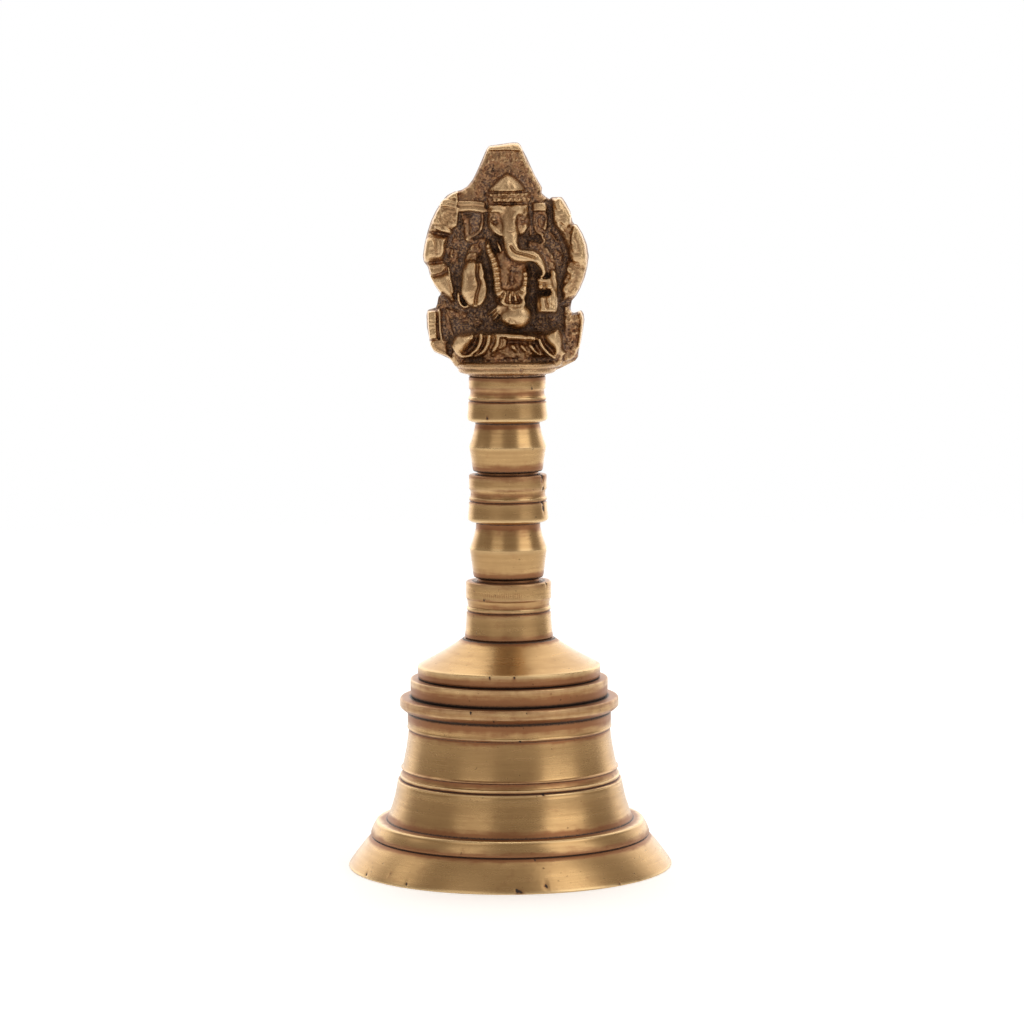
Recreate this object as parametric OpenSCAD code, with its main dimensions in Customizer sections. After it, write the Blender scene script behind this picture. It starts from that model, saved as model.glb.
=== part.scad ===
// Hand bell for worship: a cast and turned brass cup, a stacked handle on a threaded stud,
// a cast elephant-headed deity as the finial, and a free clapper on a link.
// Frame: millimetres, origin at the centre of the mouth plane, +Z up the handle, figure faces -Y.

/* [Cup] */
// Outside diameter of the mouth
mouth_d = 70.5; // [66:0.5:75]
// Height of the cup from the mouth to the seat of the handle
cup_h = 49.6; // [49:0.1:50.6]
// Thickness of the crown under the handle
crown_t = 6.1; // [5.6:0.1:6.6]

/* [Handle] */
// Height of the base collar
base_h = 13.2; // [12.5:0.1:14]
// Height of the lower handle segment
lower_h = 23; // [22:0.1:24]
// Height of the upper handle segment
upper_h = 20.6; // [20:0.1:22]
// Diameter of the threaded stud and of the eye bolt's shank
stud_d = 6; // [5:0.5:6]

/* [Finial] */
// Height of the figure above the handle
finial_h = 50; // [46:0.5:54]
// Thickness of the back plate behind the relief
plate_t = 4.2; // [3.6:0.1:4.6]

/* [Clapper] */
// Diameter of the clapper's ball
ball_d = 13; // [11:0.5:13.5]
// Height of the ball's centre above the mouth plane
ball_z = 8.2; // [8:0.1:9]
// Diameter of the link's wire
link_wire_d = 1.6; // [1.4:0.1:1.7]
// Diameter of the shank between the eye and the ball
shank_d = 3; // [2.5:0.1:3.2]

/* [Quality] */
// Facets on a full circle
$fn = 96; // [48:8:144]

/* [Hidden] */

// Heights of the stack
z_base = cup_h;
z_lower = z_base + base_h;
z_upper = z_lower + lower_h;
z_finial = z_upper + upper_h;
ceiling_z = cup_h - crown_t;

// Threads are drawn as plain cylinders: a tapped hole stands a hair clear of its screw
tapped_r = stud_d / 2 + 0.02;
clear_r = stud_d / 2 + 0.15;
crown_hole_r = stud_d / 2 + 0.2;
stud_z0 = z_base + 6.2;
stud_z1 = z_finial + 8.9;
socket_depth = 9.4;

// Clapper suspension, from the crown downwards
washer_t = 1.2;
washer_d = 14;
shoulder_d = 10;
shoulder_t = 1.4;
shoulder_z = ceiling_z - washer_t - shoulder_t;
eye_bolt_top = z_base + 5.8;
eye_wire_r = 1.1;
eye_r = 2.8;
eye_z = shoulder_z - eye_r - eye_wire_r + 0.7;
link_wire_r = link_wire_d / 2;
link_r = 3.4;
hang_gap = 0.04;
link_z = eye_z - eye_r + eye_wire_r + link_wire_r + hang_gap - link_r;
pivot_z = link_z - link_r;
clap_wire_r = 1;
clap_eye_r = 2.6;
clap_eye_z = pivot_z + link_wire_r + clap_wire_r + hang_gap - clap_eye_r;
rivet_r = 2.2;
rivet_h = 1;

// Quadratic curve through three control points
function bend(a, b, c, n = 8) =
    [for (i = [0:n]) let (t = i / n) (1 - t) * (1 - t) * a + 2 * t * (1 - t) * b + t * t * c];

// Turned moulding between two bands: lip, cove, bead, fine groove and arris, from [r0, z0] down to [r1, z1]
function moulding(r0, z0, r1, z1) =
    let (h = z0 - z1)
    concat(
        [[r0, z0], [r0 - 0.3, z0 - 0.07 * h]],
        bend([r0 - 0.32, z0 - 0.1 * h], [r0 - 0.5, z0 - 0.36 * h], [r1 - 0.12, z0 - 0.53 * h], 6),
        [[r1, z0 - 0.6 * h], [r1, z0 - 0.73 * h], [r1 - 0.28, z0 - 0.8 * h]],
        [[r1 - 0.28, z0 - 0.88 * h], [r1, z1]]
    );

// Outside of the cup from the handle's seat to the mouth, for a 70.5 mm mouth and a 49.6 mm cup
function cup_outside() = concat(
    bend([9.9, 49.6], [14.6, 46.1], [19.6, 43.75], 10),
    [[19.8, 43.55], [19.8, 42.8], [19.35, 41.7], [19.25, 40.95]],
    [[21.15, 40.85], [21.4, 40.6], [21.4, 38.7], [20.9, 37.4], [20.85, 36.85]],
    [[23.3, 36.7], [23.75, 36.4], [23.85, 35.6], [23.6, 34.8], [22.9, 34.3], [22.15, 33.9]],
    [[22.15, 30.55], [22.05, 30.35]],
    bend([21.9, 30.15], [22.2, 26.6], [23.5, 21.95]),
    moulding(23.55, 21.75, 24.2, 18.95),
    bend([24.2, 18.8], [25, 14.6], [27.1, 10.1]),
    bend([28.6, 10], [30, 9.2], [30.35, 7.1], 6),
    [[29.9, 6.9], [29.9, 6.55]],
    bend([30.5, 6.4], [31.9, 4.2], [35.1, 0.7]),
    [[35.25, 0.45], [35.2, 0.15], [34.95, 0]]
);

// Inside of the cup from the mouth to the flat under the crown
function cup_inside() = concat(
    [[31.7, 0]],
    bend([31.45, 0.25], [26.2, 5.5], [23.2, 11.5]),
    bend([23.2, 11.5], [20.5, 17.5], [19.4, 24]),
    bend([19.4, 24], [18.3, 31], [17.6, 36], 4),
    bend([17.6, 36], [17.2, 41.4], [11, 43.5])
);

// Collar over a waisted grip, the shape that the two handle segments share: the plain band, the height
// of the narrow neck and the height of the ridge above the seat differ
function segment_outside(z0, z1, r_top, band, neck, ridge) =
    let (edge = z1 - band - 6.85)
    concat(
        [[r_top - 0.2, z1], [r_top, z1 - 0.2]],
        moulding(r_top, z1 - band, 8.45, z1 - band - 3.05),
        [[8.7, edge + 0.85], [8.7, edge + 0.35], [8.4, edge], [7.3, edge - 0.25], [7, edge - 0.6]],
        [[7, edge - 0.6 - neck]],
        bend([7.05, edge - 0.9 - neck], [7.65, z0 + ridge + 1.6], [8.4, z0 + ridge]),
        bend([8.35, z0 + ridge - 0.2], [7.85, z0 + 2.9], [7.55, z0 + 0.3]),
        [[7.3, z0]]
    );

module turned(points, r_bore) {
    rotate_extrude()
        polygon(concat([[r_bore, points[0][1]]], points, [[r_bore, points[len(points) - 1][1]]]));
}

module bell_cup() {
    k_r = mouth_d / 70.5;
    k_z = cup_h / 49.6;
    outside = [for (p = cup_outside()) [p[0] * k_r, p[1] * k_z]];
    inside = [for (p = cup_inside()) [p[0] * k_r, p[1] * k_z]];
    flat = [[8, ceiling_z], [crown_hole_r, ceiling_z], [crown_hole_r, cup_h]];
    color("#b08d57")
        rotate_extrude()
            polygon(concat(outside, inside, flat));
}

// Register on top of a piece: the next one sits on it, which leaves the open line between them
register_h = 0.7;

module register(z, r) {
    translate([0, 0, z - register_h])
        difference() {
            cylinder(h = register_h, r = r);
            translate([0, 0, -1])
                cylinder(h = register_h + 2, r = tapped_r);
        }
}

module base_collar() {
    top = z_lower - register_h;
    points = concat(
        [[8.95, top], [9.25, top - 0.25]],
        moulding(9.25, top - 3.65, 9.1, top - 6.85),
        bend([9.1, top - 6.95], [9.3, z_base + 2.6], [9.6, z_base + 0.3]),
        [[9.45, z_base]]
    );
    color("#a9834c") {
        turned(points, tapped_r);
        register(z_lower, 6.8);
    }
}

module lower_handle_segment() {
    top_h = lower_h - register_h;
    color("#ab864f")
        difference() {
            union() {
                turned(segment_outside(z_lower, z_lower + top_h, 8.4, 3.05, 0.9, 6.4), tapped_r);
                register(z_upper, 6.6);
            }
            translate([0, 0, z_lower - 1])
                cylinder(h = lower_h + 2, r = clear_r);
        }
}

module upper_handle_segment() {
    color("#ab864f")
        turned(segment_outside(z_upper, z_finial, 8.25, 2.6, 0.3, 5.5), clear_r);
}

module handle_stud() {
    chamfer = 0.6;
    body_h = stud_z1 - stud_z0 - 2 * chamfer;
    color("#8f9296")
        translate([0, 0, stud_z0]) {
            cylinder(h = chamfer, d1 = stud_d - 2 * chamfer, d2 = stud_d);
            translate([0, 0, chamfer])
                cylinder(h = body_h, d = stud_d);
            translate([0, 0, chamfer + body_h])
                cylinder(h = chamfer, d1 = stud_d, d2 = stud_d - 2 * chamfer);
        }
}

// Ring of wire standing upright about the handle's axis
module wire_ring(r, wire_r, z) {
    translate([0, 0, z])
        rotate([90, 0, 0])
            rotate_extrude()
                translate([r, 0])
                    circle(r = wire_r, $fn = 36);
}

module clapper_eye_bolt() {
    color("#8f9296") {
        translate([0, 0, shoulder_z])
            cylinder(h = shoulder_t, d = shoulder_d);
        translate([0, 0, shoulder_z + 0.2])
            cylinder(h = eye_bolt_top - shoulder_z - 0.2, d = stud_d);
        rotate([0, 0, 90])
            wire_ring(eye_r, eye_wire_r, eye_z);
    }
}

module crown_washer() {
    color("#9a9da0")
        translate([0, 0, ceiling_z - washer_t])
            difference() {
                cylinder(h = washer_t, d = washer_d);
                translate([0, 0, -1])
                    cylinder(h = washer_t + 2, r = crown_hole_r);
            }
}

module clapper_link() {
    color("#9a7a45")
        wire_ring(link_r, link_wire_r, link_z);
}

module clapper_shank() {
    shank_top = clap_eye_z - clap_eye_r - 0.2;
    rivet_z = ball_z - ball_d / 2 + 0.25;
    color("#8f6f3e") {
        rotate([0, 0, 90])
            wire_ring(clap_eye_r, clap_wire_r, clap_eye_z);
        translate([0, 0, rivet_z - 0.1])
            cylinder(h = shank_top - rivet_z + 0.1, d = shank_d);
        translate([0, 0, rivet_z - rivet_h])
            cylinder(h = rivet_h, r1 = rivet_r - 0.7, r2 = rivet_r);
    }
}

module clapper_ball() {
    rivet_z = ball_z - ball_d / 2 + 0.25;
    color("#a37f48")
        translate([0, 0, ball_z])
            difference() {
                sphere(d = ball_d);
                cylinder(h = ball_d + 2, d = shank_d + 0.04, center = true);
                translate([0, 0, rivet_z - ball_z - ball_d])
                    cylinder(h = ball_d, r = ball_d);
            }
}

// ---- Finial. Its relief is laid out in [x, height above the handle], with depths along Y.

k_f = finial_h / 50;
plate_front = 0.8;

// Silhouette of the casting, clockwise from the tablet on top
outline_right = [
    [-3.6, 49], [1.8, 49.9], [2.8, 49.8], [3.3, 49], [4.8, 45.8], [6.4, 42.4], [7.5, 40.3], [7.5, 38.9],
    [9.3, 37.5], [9.9, 38], [11.9, 38], [13.6, 35.1], [14.1, 33.2], [14.6, 32.1], [15.2, 32],
    [16.4, 30], [17.3, 27.6], [17.5, 25.2], [17, 22], [16.2, 19.4], [14.2, 16.3], [13.6, 14.6],
    [13.8, 13.4], [14.6, 13], [16, 13.6], [16.5, 12.6], [16.3, 10], [15.3, 4.4], [14.7, 3.2], [10, 1.2]
];
outline_left = [
    [-10, 1.2], [-11.4, 2.4], [-12.3, 3.7], [-14.5, 4.5], [-15.8, 5.2], [-16.6, 6.9], [-17.2, 11.5],
    [-17, 13.9], [-15.2, 14.4], [-14.8, 15.6], [-14.1, 17.6], [-16, 20.3], [-16.5, 22.2], [-17, 23.7],
    [-17.8, 25], [-17.6, 27.4], [-16.7, 31.4], [-15.6, 34.2], [-14.2, 36.7], [-12.4, 38.6],
    [-9.4, 39.5], [-7.6, 41], [-6.3, 43], [-5, 46]
];

// Raised band down each side: the lifted rear arm with what it holds, then its sleeve
left_band = [
    [-10.2, 39], [-12.4, 38.4], [-14.4, 36], [-15.8, 33], [-16.8, 30], [-17.4, 27], [-17.5, 25.1],
    [-16.6, 23.4], [-16.2, 21.6], [-15.4, 19.4], [-13.8, 17.2], [-11, 15.8], [-11.3, 18.5],
    [-12.3, 22.3], [-13.2, 25.4], [-12.7, 28.6], [-11.4, 31], [-10.3, 33.4]
];
right_band = [
    [9.8, 37.7], [11.8, 37.8], [13.4, 35], [13.9, 32.8], [15.1, 31.7], [16.2, 29.8], [17.1, 27.2],
    [17.2, 25], [16.7, 22], [15.8, 19.2], [14, 16.6], [12.2, 15.6], [11.8, 19], [12.8, 22.4],
    [13.1, 25.6], [12.1, 28.6], [10.4, 31.4], [9.7, 33.4]
];
left_ear = [[-9.8, 34.8], [-4.8, 35], [-4.6, 31.4], [-5.4, 30.4], [-8, 29.3], [-9.6, 31.8]];
right_ear = [[5.7, 35], [8.7, 34.8], [8.9, 32], [8.2, 30.1], [6.4, 30.3], [5.6, 32.2]];
palm = [
    [-6, 24.7], [-7.6, 24.6], [-9, 23.8], [-9.8, 21.4], [-9.9, 18.4], [-9.2, 16], [-7.4, 14.5], [-6.4, 14.4],
    [-5.1, 15.2], [-4.1, 17.6], [-4.1, 20.6], [-5.2, 23.2]
];
left_wing = [
    [-11.6, 4.4], [-14.4, 5], [-15.6, 5.8], [-16.3, 7.6], [-16.7, 10], [-16.7, 13.4], [-13.4, 13.4], [-12.6, 8]
];
right_wing = [[12, 2.6], [14.4, 3.7], [15, 5], [16, 10], [16.1, 13], [15, 12.4], [13.2, 11.6]];

// Slab with its back at y0 and its front at y1, cut to an outline seen from the front
module slab(points, y0, y1) {
    translate([0, y0, z_finial])
        rotate([90, 0, 0])
            linear_extrude(y0 - y1)
                polygon([for (p = points) p * k_f]);
}

// Rounded limb through points [x, y, height] with a radius at each
module limb(points, radii) {
    for (i = [0:len(points) - 1])
        translate([0, 0, z_finial])
            translate(points[i] * k_f)
                sphere(r = radii[i] * k_f, $fn = 20);
    for (i = [0:len(points) - 2]) {
        step = points[i + 1] - points[i];
        length = norm(step);
        root = 0.97 * k_f;
        translate([0, 0, z_finial])
            translate(points[i] * k_f)
                rotate([0, acos(step[2] / length), atan2(step[1], step[0])])
                    cylinder(h = length * k_f, r1 = radii[i] * root, r2 = radii[i + 1] * root, $fn = 24);
    }
}

module pedestal() {
    k = k_f;
    profile = [
        [0, 0], [8.3, 0], [8.4, 0.2], [9.6, 0.45], [10.4, 1.05], [10.4, 1.5], [10.15, 1.75],
        [10.75, 1.95], [10.9, 2.35], [10.6, 2.7], [9.8, 2.85], [0, 3.3]
    ];
    translate([0, 0, z_finial])
        rotate_extrude()
            polygon([for (p = profile) p * k]);
}

// Seat under the figure and the block behind its folded legs
module cushion() {
    translate([0, -0.4 * k_f, z_finial + 2.7 * k_f])
        cylinder(h = 5.2 * k_f, r1 = 8.8 * k_f, r2 = 7.1 * k_f);
    slab([[-5.2, 6.2], [6.6, 6.2], [6.2, 12.2], [-4.8, 12.4]], plate_front + 0.1, -3.1);
}

module figure() {
    // Mitre, headband and head
    crown = [[0, 39.1], [4.2, 39.1], [3.5, 40.6], [2.2, 42], [0.8, 42.9], [0, 43.1]];
    translate([0.3 * k_f, -1.2 * k_f, z_finial])
        rotate_extrude($fn = 48)
            polygon([for (p = crown) p * k_f]);
    translate([0.3 * k_f, -1.1 * k_f, z_finial + 36.9 * k_f])
        cylinder(h = 2.4 * k_f, r = 4.7 * k_f, $fn = 48);
    limb([[0.3, -1.2, 34.2]], [4.4]);
    // Trunk, sweeping to the bowl
    limb([[0.6, -4, 34.5], [1, -5.5, 27.6]], [2.2, 1.8]);
    limb([[1, -5.5, 27.6], [5.6, -6, 25.4]], [1.75, 1.5]);
    limb([[5.6, -6, 25.4], [8.1, -4.8, 21.8]], [1.45, 0.9]);
    // Arms, trunk of the body and legs
    limb([[-9.6, 0.2, 36], [-4.2, 0, 36]], [1.3, 1.35]);
    limb([[5.2, 0, 36], [8.9, 0.1, 35.9]], [1.35, 1.3]);
    limb([[-6.4, 0.6, 29.4], [-7.4, -0.6, 24.4]], [1.6, 1.7]);
    limb([[6.6, 0.6, 29.6], [8.6, -0.4, 21]], [1.6, 1.6]);
    limb([[0.8, 0.6, 22.4], [1.4, -2.2, 13.8]], [4.2, 4.8]);
    limb([[2.6, -2.2, 9.6], [10, -4, 7]], [2.6, 2.7]);
    limb([[-0.6, -2.2, 9.6], [-9.2, -4, 6.8]], [2.6, 2.7]);
    limb([[-2, -4.8, 8], [2.6, -5.3, 8.1]], [0.9, 0.95]);
    limb([[2.6, -5.3, 8.1], [5.8, -5.4, 7.7]], [0.85, 0.8]);
}

module deity_finial() {
    color("#8a6a3c")
        difference() {
            union() {
                pedestal();
                cushion();
                slab(concat(outline_right, outline_left), plate_front + plate_t, plate_front);
                slab([[-3.8, 47.9], [-3.6, 48.9], [1.8, 49.7], [3, 48.8], [3.6, 48]], plate_front + 0.1, -1.6);
                slab(left_band, plate_front + 0.1, -2.2);
                slab(right_band, plate_front + 0.1, -2.25);
                slab(left_ear, plate_front + 0.1, -1.7);
                slab(right_ear, plate_front + 0.1, -1.75);
                slab(palm, plate_front + 0.1, -3.9);
                slab([[6.6, 13.1], [11, 13.2], [11, 17.2], [9.8, 20.6], [6.6, 20.4]], plate_front + 0.1, -4.1);
                slab(left_wing, plate_front + 0.1, -1.4);
                slab(right_wing, plate_front + 0.1, -1.45);
                figure();
            }
            translate([0, 0, z_finial - 1])
                cylinder(h = socket_depth + 1, r = tapped_r, $fn = 96);
        }
}

bell_cup();
base_collar();
lower_handle_segment();
upper_handle_segment();
deity_finial();
handle_stud();
clapper_eye_bolt();
crown_washer();
clapper_link();
clapper_shank();
clapper_ball();
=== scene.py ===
"""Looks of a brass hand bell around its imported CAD: turned cup and handle, cast finial, clapper, stage."""

import math

import bpy
import numpy as np
import openvdb
from mathutils import Matrix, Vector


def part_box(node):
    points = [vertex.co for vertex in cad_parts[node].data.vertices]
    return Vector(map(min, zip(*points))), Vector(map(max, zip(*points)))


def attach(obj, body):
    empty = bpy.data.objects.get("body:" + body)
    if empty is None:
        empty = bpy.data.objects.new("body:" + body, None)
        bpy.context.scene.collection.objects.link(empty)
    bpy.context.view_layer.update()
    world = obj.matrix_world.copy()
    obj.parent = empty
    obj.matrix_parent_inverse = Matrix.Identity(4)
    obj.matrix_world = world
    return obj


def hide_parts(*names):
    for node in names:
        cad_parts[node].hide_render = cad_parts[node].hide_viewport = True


MM = 0.001
# The camera: lens, distance from the axis, height above the mouth and place aside in mm; degrees of tilt
LENS, DISTANCE, EYE_HEIGHT, ASIDE = 121.29, 743.3, 143.9, 0.85
TIPPED_DOWN, ROLLED = 5.151, -0.36

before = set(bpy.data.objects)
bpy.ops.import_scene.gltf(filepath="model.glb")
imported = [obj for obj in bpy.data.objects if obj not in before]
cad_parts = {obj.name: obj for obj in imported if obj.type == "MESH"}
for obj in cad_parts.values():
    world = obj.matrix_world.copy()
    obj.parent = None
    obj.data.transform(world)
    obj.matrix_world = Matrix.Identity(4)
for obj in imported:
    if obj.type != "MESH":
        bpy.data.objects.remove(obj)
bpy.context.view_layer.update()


# ---------------------------------------------------------------- camera, lights and stage

def camera():
    """The photographed view: a long lens, a little above the finial's feet, tipped down."""
    data = bpy.data.cameras.new("camera")
    data.sensor_width = 36
    data.lens = LENS
    data.clip_start = 0.05
    data.clip_end = 20
    obj = bpy.data.objects.new("camera", data)
    bpy.context.scene.collection.objects.link(obj)
    tilt = Matrix.Rotation(math.radians(90 - TIPPED_DOWN), 4, "X")
    roll = Matrix.Rotation(math.radians(ROLLED), 4, "Z")
    obj.matrix_world = Matrix.Translation((ASIDE * MM, -DISTANCE * MM, EYE_HEIGHT * MM)) @ tilt @ roll
    bpy.context.scene.camera = obj


def mesh_object(name, verts, faces):
    mesh = bpy.data.meshes.new(name)
    verts = np.asarray(verts, np.float32)
    faces = np.asarray(faces, np.int32)
    mesh.vertices.add(len(verts))
    mesh.vertices.foreach_set("co", verts.ravel())
    mesh.loops.add(faces.size)
    mesh.loops.foreach_set("vertex_index", faces.ravel())
    mesh.polygons.add(len(faces))
    mesh.polygons.foreach_set("loop_start", np.arange(0, faces.size, faces.shape[1], dtype=np.int32))
    mesh.update(calc_edges=True)
    mesh.validate()
    mesh.polygons.foreach_set("use_smooth", np.full(len(mesh.polygons), True))
    obj = bpy.data.objects.new(name, mesh)
    bpy.context.scene.collection.objects.link(obj)
    return obj


def float_attribute(obj, name, values):
    layer = obj.data.attributes.new(name, "FLOAT", "POINT")
    layer.data.foreach_set("value", np.asarray(values, np.float32))


# ---------------------------------------------------------------- shader nodes

class Nodes:
    """Short names for the few node types that the materials use."""

    def __init__(self, name):
        self.material = bpy.data.materials.new(name)
        self.material.use_nodes = True
        self.tree = self.material.node_tree
        self.shader = self.tree.nodes["Principled BSDF"]

    def new(self, kind, **values):
        node = self.tree.nodes.new(kind)
        for key, value in values.items():
            setattr(node, key, value)
        return node

    def link(self, out, into):
        self.tree.links.new(out, into)

    def feed(self, socket, value):
        if isinstance(value, bpy.types.NodeSocket):
            self.link(value, socket)
        else:
            socket.default_value = value

    def math(self, operation, a, b=0.0, c=0.0, clamp=False):
        node = self.new("ShaderNodeMath", operation=operation, use_clamp=clamp)
        for socket, value in zip(node.inputs, (a, b, c)):
            self.feed(socket, value)
        return node.outputs[0]

    def weigh(self, *pairs, plus=0.0, clamp=False):
        """Sum of value * weight over the pairs, and plus."""
        total = plus
        for k, (value, weight) in enumerate(reversed(pairs), 1):
            total = self.math("MULTIPLY_ADD", value, weight, total, clamp and k == len(pairs))
        return total

    def noise(self, vector, scale, detail=3.0, rough=0.55):
        node = self.new("ShaderNodeTexNoise")
        self.link(vector, node.inputs["Vector"])
        node.inputs["Scale"].default_value = scale
        node.inputs["Detail"].default_value = detail
        node.inputs["Roughness"].default_value = rough
        return node.outputs["Fac"]

    def step(self, value, low, high, to_low=0.0, to_high=1.0):
        node = self.new("ShaderNodeMapRange", interpolation_type="SMOOTHSTEP")
        self.link(value, node.inputs["Value"])
        for key, number in (("From Min", low), ("From Max", high), ("To Min", to_low), ("To Max", to_high)):
            node.inputs[key].default_value = number
        return node.outputs["Result"]

    def mix(self, fac, a, b):
        node = self.new("ShaderNodeMix", data_type="RGBA")
        self.feed(node.inputs["Factor"], fac)
        self.feed(node.inputs["A"], a)
        self.feed(node.inputs["B"], b)
        return node.outputs["Result"]

    def surface(self, **values):
        """Sets or links the shader's sockets; base_color stands for Base Color."""
        for key, value in values.items():
            self.feed(self.shader.inputs[key.replace("_", " ").title()], value)

    def attribute(self, name):
        return self.new("ShaderNodeAttribute", attribute_name=name).outputs["Fac"]

    def bump(self, height, distance, strength=1.0, normal=None):
        node = self.new("ShaderNodeBump")
        node.inputs["Strength"].default_value = strength
        node.inputs["Distance"].default_value = distance
        self.link(height, node.inputs["Height"])
        if normal is not None:
            self.link(normal, node.inputs["Normal"])
        return node.outputs["Normal"]


def colour(r, g, b):
    return (r, g, b, 1.0)


def turned_brass(name, light, dark, tarnish_and_shadow, rough=0.22):
    """Aged brass off the lathe: fine rings, tarnish by the grooves, black corners, bright arrises that are
    partly worn metal and partly painted highlight; the handle's joint ledges get painted shadow through the
    same tarnish and black.
    """
    n = Nodes(name)
    place = n.new("ShaderNodeTexCoord").outputs["Object"]
    split = n.new("ShaderNodeSeparateXYZ")
    n.link(place, split.inputs[0])
    squared = n.math("ADD", n.math("POWER", split.outputs[0], 2.0), n.math("POWER", split.outputs[1], 2.0))
    along = n.weigh((n.math("SQRT", squared), 0.8), plus=split.outputs[2])
    ring = n.new("ShaderNodeCombineXYZ")
    n.link(along, ring.inputs[2])
    stretched = n.new("ShaderNodeMapping")
    n.link(place, stretched.inputs["Vector"])
    stretched.inputs["Scale"].default_value = (1.0, 1.0, 14.0)
    fine = n.noise(ring.outputs[0], 5200.0, 2.0)
    broad = n.noise(ring.outputs[0], 1100.0, 3.0)
    streak = n.noise(stretched.outputs[0], 95.0, 4.0, 0.6)
    cloud = n.noise(place, 70.0, 4.0, 0.6)
    mottle = n.noise(place, 420.0, 4.0, 0.6)
    speck = n.noise(place, 2600.0, 2.0, 0.5)
    recess = n.attribute("recess")
    corner = n.attribute("tarnish_and_shadow")
    arris = n.attribute("arris")
    tone = n.weigh((broad, 0.3), (streak, 0.35), (cloud, 0.45))
    base = n.mix(n.step(tone, 0.38, 0.7), colour(*light), colour(*dark))
    base = n.mix(n.step(mottle, 0.55, 0.8, 0.0, 0.25), base, colour(*tarnish_and_shadow))
    # Painted highlight on the arrises, partly worn metal.
    edge = n.math("MULTIPLY", arris, n.step(mottle, 0.15, 0.45))
    base = n.mix(n.math("MULTIPLY", edge, 0.6, clamp=True), base, colour(0.86, 0.66, 0.37))
    uneven = n.weigh((streak, 0.55), (mottle, 0.45), plus=-0.5)
    # Tarnish spreads from the hollows; on the handle's joint ledges the same mark is painted shadow.
    stain_and_shadow = n.step(n.math("ADD", corner, uneven), 0.08, 0.62)
    base = n.mix(n.math("MULTIPLY", stain_and_shadow, 0.82), base, colour(*tarnish_and_shadow))
    # Black residue in tight corners and nicks; on the handle's joint ledges it is painted shadow.
    black = n.step(n.math("ADD", recess, n.weigh((speck, 0.36), plus=-0.18)), 0.42, 0.8)
    base = n.mix(n.math("MULTIPLY", black, 0.95), base, colour(0.014, 0.008, 0.005))
    pit = n.step(n.noise(place, 1500.0, 1.0, 0.4), 0.74, 0.78)
    base = n.mix(n.math("MULTIPLY", pit, 0.5), base, colour(0.05, 0.028, 0.016))
    grime_and_shadow = n.math("MAXIMUM", n.math("MULTIPLY", stain_and_shadow, 0.6), black)
    rings = n.bump(n.weigh((broad, 0.7), (fine, 0.35)), 0.02 * MM, 0.5)
    skin = n.weigh((pit, -1.2), (streak, 0.8), plus=mottle)
    n.surface(
        base_color=base,
        roughness=n.weigh((grime_and_shadow, 0.3), (streak, 0.12), (cloud, 0.12), plus=rough - 0.06, clamp=True),
        metallic=n.weigh((black, -0.75), plus=1.0),
        anisotropic=0.5,
        anisotropic_rotation=0.25,
        tangent=n.new("ShaderNodeTangent", direction_type="RADIAL", axis="Z").outputs[0],
        normal=n.bump(skin, 0.03 * MM, 0.8, rings),
    )
    return n.material


def cast_brass(name):
    """Antique cast brass: black grain, grime and painted shade in the recesses, brown slopes darkening as
    painted shade, bright high points that are partly worn metal and partly painted highlight, and painted
    glints on the grains of the ground.
    """
    n = Nodes(name)
    place = n.new("ShaderNodeTexCoord").outputs["Object"]
    grain = n.noise(place, 2300.0, 4.0, 0.65)
    patch = n.noise(place, 420.0, 4.0, 0.6)
    recess = n.attribute("recess")
    arris = n.attribute("arris")
    wobble = n.weigh((grain, 0.42), (patch, 0.34))
    depth = n.math("ADD", recess, n.math("SUBTRACT", wobble, 0.38))
    base = n.mix(n.step(patch, 0.35, 0.7), colour(0.41, 0.255, 0.132), colour(0.3, 0.175, 0.092))
    # Painted highlight on the crests and edges, partly worn metal.
    wear_and_highlight = n.math("ADD", arris, n.weigh((patch, 0.5), plus=-0.25))
    base = n.mix(n.step(wear_and_highlight, 0.34, 0.95, 0.0, 0.8), base, colour(0.68, 0.485, 0.275))
    clay = n.step(n.noise(place, 700.0, 3.0, 0.6), 0.4, 0.62)
    earth_and_shade = n.mix(clay, colour(0.2, 0.118, 0.078), colour(0.33, 0.155, 0.078))
    # Grime and painted shade: hollows and low ground turn earth-brown, darkening down the flanks away from
    # the crests.
    base = n.mix(n.step(depth, 0.14, 0.44, 0.0, 0.88), base, earth_and_shade)
    # Grime and painted shade: the deepest places turn soot-brown.
    soot_and_shade = n.step(depth, 0.46, 0.88)
    base = n.mix(n.math("MULTIPLY", soot_and_shade, 0.9), base, colour(0.16, 0.106, 0.083))
    sand = n.noise(place, 2300.0, 3.0, 0.6)
    dark_grains = n.math("MULTIPLY", n.step(sand, 0.36, 0.5, 0.8, 0.0), n.step(depth, 0.2, 0.5))
    base = n.mix(dark_grains, base, colour(0.05, 0.027, 0.017))
    # Painted glints: golden specks on the grains of the dark ground stand in for light caught by them.
    grain_glints = n.math("MULTIPLY", n.step(sand, 0.5, 0.6, 0.0, 0.9), n.step(depth, 0.3, 0.5))
    base = n.mix(grain_glints, base, colour(0.5, 0.3, 0.15))
    n.surface(
        base_color=base,
        metallic=n.weigh((soot_and_shade, -0.8), plus=1.0),
        roughness=n.weigh((n.step(depth, 0.1, 0.6), 0.22), (patch, 0.14), plus=0.2, clamp=True),
        normal=n.bump(patch, 0.14 * MM, 0.4, n.bump(grain, 0.14 * MM, 0.7)),
    )
    return n.material


def plain_metal(name, light, dark, rough):
    n = Nodes(name)
    place = n.new("ShaderNodeTexCoord").outputs["Object"]
    patch = n.noise(place, 350.0, 4.0, 0.6)
    grain = n.noise(place, 2500.0, 3.0, 0.6)
    n.surface(
        base_color=n.mix(n.step(patch, 0.3, 0.75), colour(*light), colour(*dark)),
        metallic=1.0,
        roughness=n.weigh((patch, 0.25), plus=rough - 0.1),
        normal=n.bump(grain, 0.04 * MM, 0.5),
    )
    return n.material


THREAD_PITCH = 1.0 * MM


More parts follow.
